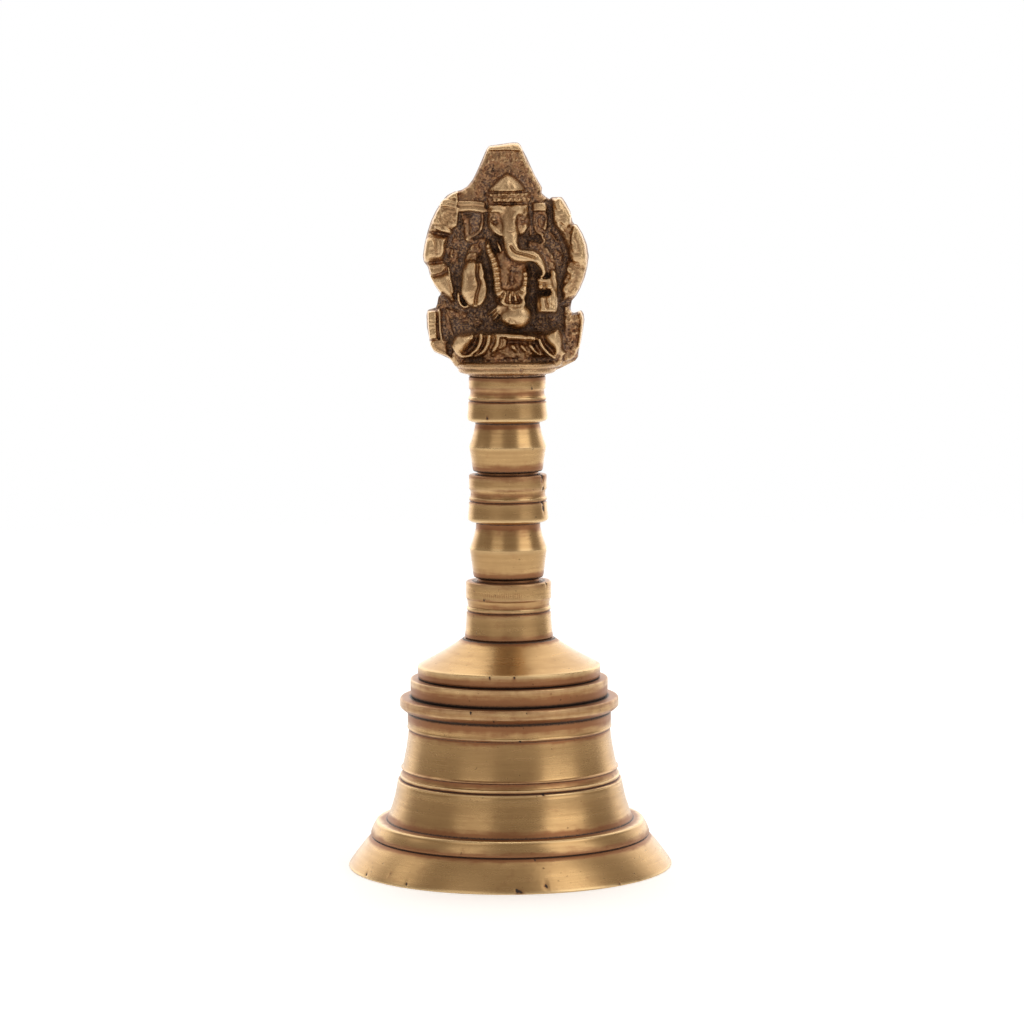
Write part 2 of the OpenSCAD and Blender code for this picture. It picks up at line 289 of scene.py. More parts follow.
def screw_metal(name):
    """Plain steel with the ridges of an M6 thread along Z."""
    n = Nodes(name)
    place = n.new("ShaderNodeTexCoord").outputs["Object"]
    split = n.new("ShaderNodeSeparateXYZ")
    n.link(place, split.inputs[0])
    turn = n.math("DIVIDE", n.math("ARCTAN2", split.outputs[1], split.outputs[0]), 2 * math.pi)
    threads = n.math("MULTIPLY", split.outputs[2], 1 / THREAD_PITCH)
    phase = n.math("FRACT", n.math("SUBTRACT", threads, turn))
    ridge = n.math("ABSOLUTE", n.math("SUBTRACT", phase, 0.5))
    patch = n.noise(place, 500.0, 3.0)
    n.surface(
        base_color=n.mix(patch, colour(0.5, 0.5, 0.5), colour(0.3, 0.28, 0.26)),
        metallic=1.0,
        roughness=n.weigh((patch, 0.2), plus=0.3),
        normal=n.bump(ridge, 0.5 * MM, 0.7),
    )
    return n.material


# ---------------------------------------------------------------- turned pieces

def bend(a, b, c, count=10):
    t = np.linspace(0, 1, count)[:, None]
    a, b, c = (np.array(p, float) for p in (a, b, c))
    return ((1 - t) ** 2 * a + 2 * t * (1 - t) * b + t * t * c).tolist()


def blurred_loop(loop, sigma, step):
    reach = int(4 * sigma / step) + 1
    taps = np.exp(-0.5 * (np.arange(-reach, reach + 1) * step / sigma) ** 2)
    taps /= taps.sum()
    out = np.zeros_like(loop)
    for offset, weight in zip(range(-reach, reach + 1), taps):
        out += weight * np.roll(loop, offset, axis=0)
    return out


def section(points, soft=0.045, step=0.03, turn=4.5, longest=0.9):
    """Closed (radius, height) section in mm, clockwise from the top inside corner: arrises eased, thinned
    where it is straight. Returns the points with how deep in a recess and how proud on an arris each is."""
    p = np.array(points + points[:1], float)
    run = np.r_[0, np.cumsum(np.hypot(*np.diff(p, axis=0).T))]
    t = np.linspace(0, run[-1], int(run[-1] / step), endpoint=False)
    loop = np.c_[np.interp(t, run, p[:, 0]), np.interp(t, run, p[:, 1])]
    eased = blurred_loop(loop, soft, step)
    near = blurred_loop(loop, 0.35, step)
    wide = blurred_loop(loop, 1.3, step)
    ahead = np.roll(eased, -1, axis=0) - np.roll(eased, 1, axis=0)
    ahead /= np.hypot(*ahead.T)[:, None] + 1e-9
    outward = np.c_[-ahead[:, 1], ahead[:, 0]]
    hollow = ((near - eased) * outward).sum(1)
    broad = ((wide - eased) * outward).sum(1)
    keep = []
    turned, gone = 0.0, 0.0
    for i in range(len(eased)):
        turned += abs(math.asin(np.clip(np.cross(ahead[i - 1], ahead[i]), -1, 1)))
        gone += step
        if not keep or turned > math.radians(turn) or gone > longest:
            keep.append(i)
            turned, gone = 0.0, 0.0
    marks = np.c_[hollow / 0.17, broad / 0.42, -hollow / 0.11][keep]
    return eased[keep], np.clip(marks, 0, 1)


# Marks only fall where the radius is more than this, so never on the bores of the handle
OUTER_SIDE = 7.2


def lathe(name, node, points, segments, nicks, stains_and_shadows, chatter, seed, wobble=0.02):
    """Turns a section round Z and stands it where its CAD node stands. A nick is (degrees round from the
    front, height, size, depth) in mm, and a stain or painted shadow is (radius, height, how far it spreads,
    how strong).
    Chatter is the tool's ticks on one band: (lowest, highest, ticks round, depth)."""
    ring, marks = section(points)
    for radius, height, spread, strength in stains_and_shadows:
        far = np.hypot(ring[:, 0] - radius, ring[:, 1] - height)
        marks[:, 1] = np.maximum(marks[:, 1], strength * np.exp(-((far / spread) ** 2)))
        marks[:, 0] = np.maximum(marks[:, 0], strength * np.exp(-((far / (0.32 * spread)) ** 2)))
    count = len(ring)
    angle = np.linspace(0, 2 * math.pi, segments, endpoint=False)
    radius = np.repeat(ring[:, 0][:, None], segments, axis=1)
    height = np.repeat(ring[:, 1][:, None], segments, axis=1)
    recess, tarnish_and_shadow, arris = (np.repeat(marks[:, k][:, None], segments, axis=1) for k in range(3))
    rng = np.random.default_rng(seed)
    phase = rng.uniform(0, 2 * math.pi, 6)
    for k in range(6):
        wave = np.cos((k + 2) * angle[None, :] + phase[k] + height * (0.05 + 0.03 * k))
        radius += wobble * wave / (k + 1.5)
    for degrees, z, size, depth in nicks:
        turn = (angle[None, :] - math.radians(degrees) + math.pi) % (2 * math.pi) - math.pi
        far = np.hypot(turn * radius, height - z)
        near = radius > OUTER_SIDE
        radius -= depth * np.exp(-((far / size) ** 2)) * near
        recess = np.maximum(recess, 1.7 * np.exp(-((far / (0.95 * size)) ** 2)) * near)
        tarnish_and_shadow = np.maximum(tarnish_and_shadow, 0.6 * np.exp(-((far / (1.6 * size)) ** 2)) * near)
    if chatter:
        low, high, ticks, depth = chatter
        band = np.clip((height - low) / 0.3, 0, 1) * np.clip((high - height) / 0.3, 0, 1)
        band = band * (radius > OUTER_SIDE)
        patchy = np.clip(0.4 + np.cos(2 * angle + 0.6) + 0.5 * np.cos(5 * angle), 0, 1)[None, :]
        cut = band * patchy * np.cos(ticks * angle)[None, :] ** 2
        radius -= depth * cut
        tarnish_and_shadow = np.maximum(tarnish_and_shadow, 0.5 * cut)
    x = radius * np.sin(angle)
    y = -radius * np.cos(angle)
    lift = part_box(node)[0].z / MM - min(p[1] for p in points)
    verts = np.stack([x, y, height + lift], axis=-1).reshape(-1, 3) * MM
    i = np.arange(count)[:, None]
    j = np.arange(segments)[None, :]
    a = i * segments + j
    b = i * segments + (j + 1) % segments
    c = ((i + 1) % count) * segments + (j + 1) % segments
    d = ((i + 1) % count) * segments + j
    faces = np.stack([a, b, c, d], axis=-1).reshape(-1, 4)
    obj = mesh_object(name, verts, faces)
    for key, values in (("recess", recess), ("tarnish_and_shadow", tarnish_and_shadow), ("arris", arris)):
        float_attribute(obj, key, values.ravel())
    return obj


def moulding(r0, z0, r1, z1):
    """Lip, cove, bead, groove and arris between two bands, downwards."""
    h = z0 - z1
    return (
        [[r0, z0], [r0 - 0.12, z0 - 0.06 * h]]
        + bend([r0 - 0.26, z0 - 0.13 * h], [r0 - 0.42, z0 - 0.36 * h], [r1 - 0.26, z0 - 0.57 * h], 8)
        + bend([r1 - 0.06, z0 - 0.6 * h], [r1 + 0.03, z0 - 0.71 * h], [r1 - 0.04, z0 - 0.82 * h], 6)
        + [[r1 - 0.26, z0 - 0.86 * h], [r1 - 0.24, z0 - 0.92 * h]]
        + [[r1 - 0.02, z0 - 0.98 * h], [r1 + 0.03, z1]]
    )


def cup_section():
    outside = (
        bend([9.85, 49.6], [14.7, 46.15], [19.6, 43.8], 14)
        + [[19.8, 43.6], [19.8, 41.6], [19.6, 41.05], [19.3, 40.92]]
        + [[21.3, 40.86], [21.42, 40.7], [21.4, 38.0], [21.3, 37.2], [21.0, 36.92]]
        + [[23.45, 36.82], [23.7, 36.55], [23.74, 35.0]]
        + bend([23.65, 34.85], [23.1, 34.2], [22.2, 33.8], 6)
        + [[21.95, 33.62], [22.1, 33.3], [22.1, 30.7], [22.2, 30.5], [22.2, 30.28]]
        + [[21.95, 30.14], [21.82, 29.9], [21.9, 29.6]]
        + bend([21.95, 29.3], [22.35, 25.5], [23.25, 21.9], 12)
        + [[23.35, 21.75], [23.6, 21.62], [23.6, 21.42], [23.3, 21.25]]
        + bend([23.3, 21.1], [23.32, 20.5], [23.6, 20.05], 6)
        + [[23.88, 19.95], [23.9, 19.4], [23.72, 19.22], [23.78, 19.05]]
        + [[24.22, 18.92], [24.33, 18.75], [24.36, 18.4]]
        + bend([24.5, 18.0], [25.1, 13.9], [26.75, 10.3], 14)
        + [[26.85, 10.08], [28.85, 10.0], [29.15, 9.75]]
        + bend([29.3, 9.4], [29.9, 8.6], [30.28, 7.3], 8)
        + [[30.3, 6.95], [30.12, 6.78], [29.98, 6.66], [30.2, 6.5]]
        + bend([30.35, 6.4], [32.2, 4.5], [34.75, 0.9], 14)
        + [[35.12, 0.35], [35.14, 0.12], [35.0, 0.02]]
    )
    inside = (
        [[34.6, 0.0], [31.9, 0.0], [31.55, 0.12]]
        + bend([31.3, 0.4], [26.2, 5.5], [23.2, 11.5], 12)
        + bend([23.1, 11.7], [20.5, 17.5], [19.4, 24.0], 10)
        + bend([19.35, 24.3], [18.3, 31.0], [17.6, 36.0], 8)
        + bend([17.55, 36.3], [17.2, 41.3], [11.0, 43.4], 10)
        + [[10.5, 43.5], [3.25, 43.5], [3.25, 49.6]]
    )
    return outside + inside


def base_collar_section():
    return (
        [[3.05, 62.7], [6.6, 62.7], [6.75, 62.55], [6.75, 62.12], [8.95, 62.08], [9.2, 61.9], [9.25, 61.5]]
        + [[9.25, 58.7]]
        + moulding(9.25, 58.5, 9.1, 55.25)
        + bend([9.15, 55.0], [9.25, 52.4], [9.55, 50.3], 8)
        + [[9.55, 50.0], [9.3, 49.7], [3.05, 49.65]]
    )


def segment_section(z0, z1, r_top, band, neck, ridge, bore, boss):
    """Collar over a waisted grip, from z0 to z1; boss is the radius of the register on top, or 0."""
    edge = z1 - band - 6.85
    top = [[r_top - 0.25, z1], [r_top, z1 - 0.2], [r_top + 0.02, z1 - 0.8], [r_top, z1 - band + 0.15]]
    if boss:
        top = [[bore, z1 + 0.6], [boss - 0.1, z1 + 0.6], [boss, z1 + 0.5], [boss, z1 + 0.02]] + top
    else:
        top = [[bore, z1]] + top
    return (
        top
        + moulding(r_top, z1 - band, 8.42, z1 - band - 3.05)
        + bend([8.45, z1 - band - 3.3], [8.5, edge + 2.4], [8.7, edge + 0.75], 5)
        + [[8.7, edge + 0.35]]
        + bend([8.62, edge + 0.1], [8.2, edge - 0.35], [7.1, edge - 0.5], 6)
        + [[6.98, edge - 0.65], [6.97, edge - 0.65 - neck]]
        + bend([7.02, edge - 0.9 - neck], [7.65, z0 + ridge + 1.6], [8.36, z0 + ridge], 8)
        + bend([8.36, z0 + ridge - 0.15], [7.95, z0 + 3.2], [7.6, z0 + 0.5], 10)
        + [[7.45, z0 + 0.15], [7.2, z0 + 0.03], [bore, z0]]
    )


# ---------------------------------------------------------------- finial

LOW = -9.0
FAR_OFF = 1e9
CURVE_PARTS = 6


def through(points, per=CURVE_PARTS):
    """Smooth curve through the points (Catmull-Rom)."""
    p = np.array(points, float)
    if len(p) < 3:
        return p
    q = np.vstack([2 * p[0] - p[1], p, 2 * p[-1] - p[-2]])
    t = np.linspace(0, 1, per, endpoint=False)[:, None]
    parts = []
    for a, b, c, d in zip(q, q[1:], q[2:], q[3:]):
        square, cube = 2 * a - 5 * b + 4 * c - d, 3 * b - a - 3 * c + d
        parts.append(0.5 * (2 * b + (c - a) * t + square * t**2 + cube * t**3))
    return np.vstack(parts + [p[-1:]])


def nearest(x, h, curve):
    """Distance to a curve, how far along it the nearest point is, and how far along each of its points."""
    best = np.full(x.shape, FAR_OFF)
    along = np.zeros(x.shape)
    run = np.r_[0, np.cumsum(np.hypot(*np.diff(curve, axis=0).T))]
    for a, b, s0, s1 in zip(curve, curve[1:], run, run[1:]):
        d = b - a
        t = np.clip(((x - a[0]) * d[0] + (h - a[1]) * d[1]) / max(d @ d, 1e-12), 0, 1)
        far = np.hypot(x - a[0] - t * d[0], h - a[1] - t * d[1])
        nearer = far < best
        best = np.where(nearer, far, best)
        along = np.where(nearer, s0 + t * (s1 - s0), along)
    return best, along, run


def enclosed(x, h, outline):
    """Whether each place is inside a closed outline, which ends where it begins."""
    inside = np.zeros(x.shape, bool)
    for a, b in zip(outline, outline[1:]):
        if a[1] != b[1]:
            crosses = (a[1] > h) != (b[1] > h)
            inside ^= crosses & (x < (b[0] - a[0]) * (h - a[1]) / (b[1] - a[1]) + a[0])
    return inside


def blur(field, sigma, step):
    reach = int(3 * sigma / step) + 1
    taps = np.exp(-0.5 * (np.arange(-reach, reach + 1) * step / sigma) ** 2)
    taps /= taps.sum()
    for axis in (0, 1):
        padded = np.pad(field, [(reach, reach) if a == axis else (0, 0) for a in (0, 1)], mode="edge")
        out = np.zeros_like(field)
        size = field.shape[axis]
        for k, weight in enumerate(taps):
            out += weight * (padded[k : k + size] if axis == 0 else padded[:, k : k + size])
        field = out
    return field


class Relief:
    """Front of a casting as a height field: proud[h, x] towards the viewer. Everything is in mm."""

    step = 0.1

    def __init__(self):
        self.x = np.arange(-18.8, 18.81, self.step)
        self.h = np.arange(-0.8, 51.01, self.step)
        self.xx, self.hh = np.meshgrid(self.x, self.h)
        self.proud = np.full(self.xx.shape, LOW)
        self.rough = np.zeros(self.xx.shape)
        self.dirt_and_shade = np.zeros(self.xx.shape)
        rng = np.random.default_rng(11)
        fine = blur(rng.standard_normal(self.xx.shape), 0.16, self.step)
        coarse = blur(rng.standard_normal(self.xx.shape), 0.42, self.step)
        swell = blur(rng.standard_normal(self.xx.shape), 1.1, self.step)
        self.swell = swell / swell.std()
        self.fine = fine / fine.std()
        self.coarse = coarse / coarse.std()

    def window(self, points, margin):
        p = np.asarray(points, float)
        x0, h0 = p.min(0) - margin
        x1, h1 = p.max(0) + margin
        rows = slice(*np.searchsorted(self.h, (h0, h1)))
        cols = slice(*np.searchsorted(self.x, (x0, x1)))
        return rows, cols

    def depth_inside(self, outline, margin=1.0):
        """How far inside an outline each place is; negative outside."""
        p = np.vstack([outline, outline[:1]])
        w = self.window(p, margin)
        x, h = self.xx[w], self.hh[w]
        far = nearest(x, h, p)[0]
        return w, np.where(enclosed(x, h, p), far, -far)

    def over(self, w, shape, rough=0.0):
        """Lays a shape on the relief where it stands prouder."""
        higher = shape > self.proud[w]
        self.proud[w] = np.where(higher, shape, self.proud[w])
        self.rough[w] = np.where(higher, rough, self.rough[w])

    def pad(self, outline, top, bevel=0.5, crown=0.0, smooth=3, rough=0.0):
        """Raised area with a rounded edge, domed by crown towards its middle."""
        p = np.array(outline, float)
        if smooth:
            p = through(np.vstack([p, p[:1]]), smooth)[:-1]
        w, inside = self.depth_inside(p)
        k = np.clip(bevel - np.clip(inside, 0, bevel), 0, bevel)
        shape = top - bevel + np.sqrt(np.maximum(bevel**2 - k**2, 0))
        if crown:
            reach = inside.max()
            slope = 1 - np.clip(inside, 0, reach) / reach
            shape = shape + crown * np.sqrt(np.clip(1 - slope**2, 0, 1)) - crown
        self.over(w, np.where(inside > 0, shape, LOW), rough)

    def limb(self, points, radii, tops, flat=1.0, rough=0.0, bands=None):
        """Rounded ridge along a curve; its radius and its top change along it. bands is (pitch, height)."""
        curve = through(points)
        w = self.window(curve, float(np.max(radii)) + 0.2)
        far, along, run = nearest(self.xx[w], self.hh[w], curve)
        marks = run[::CURVE_PARTS] if len(points) > 2 else run
        r, top = (np.interp(along, marks, np.broadcast_to(v, len(points))) for v in (radii, tops))
        shape = top - flat * r + flat * np.sqrt(np.maximum(r**2 - far**2, 0))
        if bands:
            shape = shape - bands[1] * (0.5 + 0.5 * np.cos(2 * math.pi * along / bands[0])) ** 2
        self.over(w, np.where(far < r, shape, LOW), rough)

    def dome(self, x, h, rx, rh, top, base, tilt=0.0, rough=0.0):
        w = self.window([[x - rx - rh, h - rx - rh], [x + rx + rh, h + rx + rh]], 0.1)
        c, s = math.cos(math.radians(tilt)), math.sin(math.radians(tilt))
        dx, dh = self.xx[w] - x, self.hh[w] - h
        rho = ((dx * c + dh * s) / rx) ** 2 + ((dh * c - dx * s) / rh) ** 2
        self.over(w, np.where(rho < 1, base + (top - base) * np.sqrt(np.clip(1 - rho, 0, 1)), LOW), rough)

    def line(self, points, width, height):
        """Adds a soft ridge along a curve, or with a negative height cuts a groove."""
        curve = through(points)
        w = self.window(curve, 3 * width)
        far = nearest(self.xx[w], self.hh[w], curve)[0]
        self.proud[w] += height * np.exp(-((far / width) ** 2))

    def dots(self, places, width, height):
        for x, h in places:
            w = self.window([[x, h]], 3 * width)
            far = np.hypot(self.xx[w] - x, self.hh[w] - h)
            self.proud[w] += height * np.exp(-((far / width) ** 2))

    def ribs(self, outline, direction, pitch, height, fade=0.4):
        """Fine parallel ribs across an area; direction in degrees is the way that they repeat."""
        w, inside = self.depth_inside(np.array(outline, float))
        c, s = math.cos(math.radians(direction)), math.sin(math.radians(direction))
        across = self.xx[w] * c + self.hh[w] * s + 0.25 * self.coarse[w] * pitch
        self.proud[w] += height * np.sin(2 * math.pi * across / pitch) * np.clip(inside / fade, 0, 1)

    def soil_and_shade(self, outline, amount, fade=0.8):
        """Grime that polishing never reaches, and painted shade in the hollows and under parts: darkens an
        area's colour.
        """
        w, inside = self.depth_inside(through(np.array(outline + outline[:1], float), 3)[:-1])
        self.dirt_and_shade[w] = np.maximum(self.dirt_and_shade[w], amount * np.clip(inside / fade, 0, 1))

    def roughen(self, outline, amount, fade=0.5):
        w, inside = self.depth_inside(np.array(outline, float))
        self.rough[w] = np.maximum(self.rough[w], amount * np.clip(inside / fade, 0, 1))


RIGHT_EDGE = [
    [1.5, 49.8], [2.6, 49.75], [3.1, 49.2], [3.5, 48.3], [4.4, 46.6], [5.2, 44.8], [6, 43], [6.8, 41.6],
    [7.6, 40.2], [7.5, 39], [8.4, 38.2], [9.3, 37.6], [9.9, 38.05], [11.9, 38.05], [12.6, 37.1], [13.7, 35],
    [14.1, 32.9], [14.6, 32.2], [15.1, 32.2], [16.3, 30.3], [17.2, 28], [17.6, 25.5], [17.3, 23.2],
    [16.7, 20.9], [15.7, 18.5], [14.8, 17], [13.9, 16], [13.6, 14.4], [13.8, 13.4], [14.5, 13.1],
    [15.3, 13.35], [16, 13.7], [16.4, 13.1], [16.6, 11.8], [16.3, 9.8], [15.9, 7.4], [15.3, 5], [15.2, 3.9],
    [14.6, 3.1], [12, 1.8], [10, 0.9], [8.6, 0.3],
]
LEFT_EDGE = [
    [-8.2, 0.3], [-10.2, 1.1], [-11.2, 2.2], [-12.2, 3.6], [-13.6, 4.3], [-15.6, 5.2], [-16.4, 6.4],
    [-16.7, 8.4], [-17.1, 10.4], [-17.2, 13], [-16.9, 14], [-15.2, 14.5], [-14.85, 15.4], [-14.6, 16.8],
    [-14, 17.5], [-14.6, 18.3], [-15.6, 19.8], [-16.3, 21.4], [-16.8, 23.4], [-17.7, 24.6], [-17.85, 25.8],
    [-17.5, 28.2], [-16.8, 31], [-16.1, 33.1], [-15.2, 35], [-13.9, 37.2], [-12.6, 38.6], [-11.2, 39.3],
    [-9.4, 39.75], [-8.2, 40.5], [-7, 42], [-6.1, 43.8], [-5.1, 46], [-4.1, 48.3], [-3.5, 49.1], [-1, 49.45],
]
OUTLINE = RIGHT_EDGE + LEFT_EDGE


def carve_plate(r):
    """Back plate, and the spire with its tablet."""
    r.pad(OUTLINE, -0.55, 0.4, smooth=0, rough=1.5)
    # Light grime and painted shade over the spire.
    r.soil_and_shade([[-3.6, 47.6], [3, 47.6], [6.4, 41.4], [7.4, 38], [-9.6, 38.2], [-6.4, 42]], 0.1)
    spire = [
        [-4.0, 48.3], [-5.2, 45.6], [-6.3, 43.3], [-7.2, 41.6], [-8.3, 40.4], [-10.2, 39.5], [-10.1, 37.2],
        [-4.8, 37], [5.4, 37], [8.6, 37.3], [8.9, 37.9], [7.6, 38.9], [7.7, 40.1], [6.8, 41.7], [5.2, 44.8],
        [3.5, 48.3],
    ]
    r.pad(spire, 1.2, 0.6, 0.5, smooth=0, rough=0.7)
    # rays beside the crown and under the tablet
    r.ribs([[-5.4, 38.8], [-4.6, 38.4], [-0.6, 42.9], [-0.9, 44.4], [-2.6, 43.6]], 134, 0.66, 0.3)
    r.ribs([[5.2, 38.8], [6.4, 39.4], [2.9, 43.6], [1.2, 44.3], [0.9, 43.3]], 48, 0.66, 0.22)
    for k in range(-5, 6):
        lean = 0.82 * k - 0.25
        r.line([[lean * 0.93, 47.9], [lean * 1.06, 45.9 + 0.35 * math.sin(2.1 * k)]], 0.22, 0.55)
    # Grime and painted shade in the rays beside the crown.
    r.soil_and_shade([[-6.6, 43.4], [-3.6, 47.4], [-1.6, 44.6], [-4.4, 39.2], [-7.4, 40.2]], 0.5)
    r.soil_and_shade([[3.0, 47], [2.0, 43.6], [5.0, 39.0], [7.6, 39.6], [5.8, 43.2]], 0.42)
    r.dots([[0.2, 43.9], [0.9, 44.1], [1.5, 43.7], [0.5, 44.5], [-0.3, 44.2]], 0.22, 0.35)
    tablet = [[-4.15, 48.15], [-3.5, 49.1], [-1, 49.45], [1.5, 49.8], [2.6, 49.75], [3.1, 49.2], [3.75, 48.1]]
    w, inside = r.depth_inside(np.array(tablet))
    slope = 2.35 - 1.1 * np.clip(r.hh[w] - 48.85 - 0.03 * r.xx[w], 0, 1.2)
    r.over(w, np.where(inside > 0, slope - 0.3 + 0.3 * np.clip(inside / 0.25, 0, 1), LOW), 0.25)
    r.line([[0.7, 48.0], [2, 48.1], [3.3, 48.05]], 0.28, 0.4)
    r.line([[-3.7, 48.25], [-1, 48.3], [3.4, 48.3]], 0.12, 0.18)


def carve_left_band(r):
    inner = [
        [-10.3, 39.3], [-10.1, 37], [-10.1, 34.6], [-10.4, 32.6], [-11.4, 31], [-12.4, 29.4], [-13, 27.2],
        [-13.4, 25.2], [-12.9, 24.2], [-12.4, 22.2], [-11.7, 19.4], [-11.2, 17], [-11, 15.7],
    ]
    outer = [p for p in LEFT_EDGE if 17.4 < p[1] < 39.4]
    r.pad([[-12, 15.9]] + outer + inner, 1.9, 1.1, 0.6, smooth=0, rough=0.35)
    r.pad([[-12.7, 38.0], [-11.5, 39.15], [-10.4, 39.4], [-10.5, 38.1]], 2.5, 0.35, smooth=0)
    r.limb([[-10.55, 39.3], [-10.5, 37.8], [-10.7, 36.6]], 0.3, 2.7)
    r.limb([[-13.5, 37.5], [-12.2, 37.45], [-10.8, 37.1]], 0.42, 2.6)
    r.limb([[-14, 36.75], [-12.4, 36.6], [-10.8, 36.15]], 0.36, 2.7)
    lump = [
        [-14.3, 36.2], [-12.6, 36], [-10.5, 35.7], [-10.35, 33.6], [-10.6, 31.9], [-12.4, 31.4],
        [-15.7, 32.6],
    ]
    r.pad(lump + [[-15.2, 34.4]], 2.5, 0.5, 0.35, rough=0.8)
    for k in range(4):
        r.line([
            [-13.8 + 0.95 * k, 35.5 - 0.2 * k], [-14.2 + 1.0 * k, 34.1], [-13.7 + 1.0 * k, 32.6],
        ], 0.2, -0.4)
    r.limb([[-10.5, 36], [-10.45, 34], [-10.75, 32.2]], 0.28, 2.75)
    r.limb([[-15, 31.9], [-13.8, 31.3], [-11.8, 30.7]], 0.38, 3.0)
    r.limb([[-13.2, 31.9], [-12, 31.1]], 0.25, 3.05)
    r.line([[-16.6, 30.9], [-14.4, 30.5], [-12.4, 30.2]], 0.32, -1.1)
    oval = [
        [-17.2, 29.4], [-15.6, 29.9], [-12.6, 29.8], [-13.0, 27.2], [-13.5, 25.2], [-15.2, 24.8],
        [-17.4, 24.6], [-17.7, 26.6],
    ]
    r.pad(oval, 3.1, 1.2, 0.9)
    r.line([[-15.3, 29.2], [-15.1, 27.8], [-15, 26.3]], 0.24, -0.75)
    r.line([[-14.3, 29.1], [-14.1, 27.4], [-14.4, 26.2]], 0.2, -0.5)
    r.line([[-12.7, 29.6], [-13.6, 28.8], [-13.4, 26.4]], 0.24, 0.4)
    r.line([[-15.9, 27.3], [-15.8, 26.4]], 0.22, -0.3)
    r.line([[-17.4, 24.15], [-15.2, 24.35], [-13.1, 24.6]], 0.24, -1.1)
    r.line([[-16.3, 22.9], [-14.6, 23.1], [-12.9, 23.6]], 0.13, -0.35)
    r.line([[-16, 21.3], [-14.4, 21.8], [-12.6, 22.5]], 0.2, -0.7)
    sleeve = [
        [-16, 21], [-12.5, 21.9], [-11.7, 19.2], [-11.4, 16.8], [-12.2, 16.6], [-13.9, 18], [-15.2, 19.6],
    ]
    r.pad(sleeve, 2.8, 1.1, 0.8)
    r.limb([[-16.3, 21.4], [-15.4, 19.9], [-14, 18]], 0.28, 2.6)
    r.limb([[-12.5, 23.4], [-12, 21], [-11.4, 18]], 0.25, 2.5)


def carve_right_band(r):
    inner = [
        [11.9, 15.7], [11.7, 18], [12, 20.4], [12.7, 22.8], [12.8, 24], [13.2, 25.4], [12.9, 27], [12, 29.2],
        [11, 31], [10, 32.4], [9.7, 34.4], [9.8, 37.6],
    ]
    outer = [p for p in RIGHT_EDGE if 16.2 < p[1] < 38.1 and p[0] > 9.5]
    r.pad(outer + inner, 1.8, 1.1, 0.6, smooth=0, rough=0.6)
    petal = [
        [9.95, 37.7], [11.8, 37.9], [12.6, 36.9], [13.8, 34.8], [13.9, 32.8], [12.7, 30.6], [11.5, 30.7],
        [10.3, 32.3], [9.85, 34.6],
    ]
    r.pad(petal, 3.0, 1.1, 0.8, rough=0.45)
    r.limb([[11.35, 37.8], [11.4, 37.1]], 0.32, 3.0)
    r.limb([[10.5, 34.1], [12, 34.2], [13.8, 34.1]], 0.34, 2.95)
    r.line([[10.6, 33.5], [12.2, 33.4], [13.7, 33.4]], 0.15, -0.3)
    r.line([[11.5, 32.6], [12.2, 31.8], [12.8, 30.9]], 0.26, -0.65)
    r.line([[10.2, 36.2], [11, 35.2], [12.4, 35.4]], 0.16, -0.35)
    r.line([[11.6, 36.2], [12.3, 35.9], [12.8, 36.3]], 0.14, -0.3)
    wing = [
        [14.1, 31.8], [14.7, 32.15], [15.3, 31.8], [16.4, 29.8], [17.1, 27.4], [17.2, 24.8], [16.2, 23.3],
        [14.4, 23.6], [13.4, 25.4], [13.5, 28.2],
    ]
    r.pad(wing, 2.9, 1.1, 0.9, rough=0.2)
    r.limb([[14.7, 31.9], [14.3, 30.4], [14.05, 28.4]], 0.3, 3.0)
    r.line([[14.95, 30.9], [14.7, 29.6], [15.3, 28.2], [15.5, 27]], 0.26, -0.55)
    r.line([[14, 26.6], [14.6, 26], [15.4, 26.1]], 0.2, -0.35)
    r.line([[13.4, 24.6], [14.6, 24], [16.6, 24.3]], 0.18, -0.4)
    r.line([[16.3, 23.6], [16.6, 22.8]], 0.25, -0.4)
    r.limb([[13.4, 22.8], [14.2, 21.4], [13.3, 19.4], [12.4, 18.2]], 0.7, 2.35, rough=0.8)
    r.line([[12.9, 20.9], [14, 20.1], [15.2, 20.3]], 0.2, -0.35)


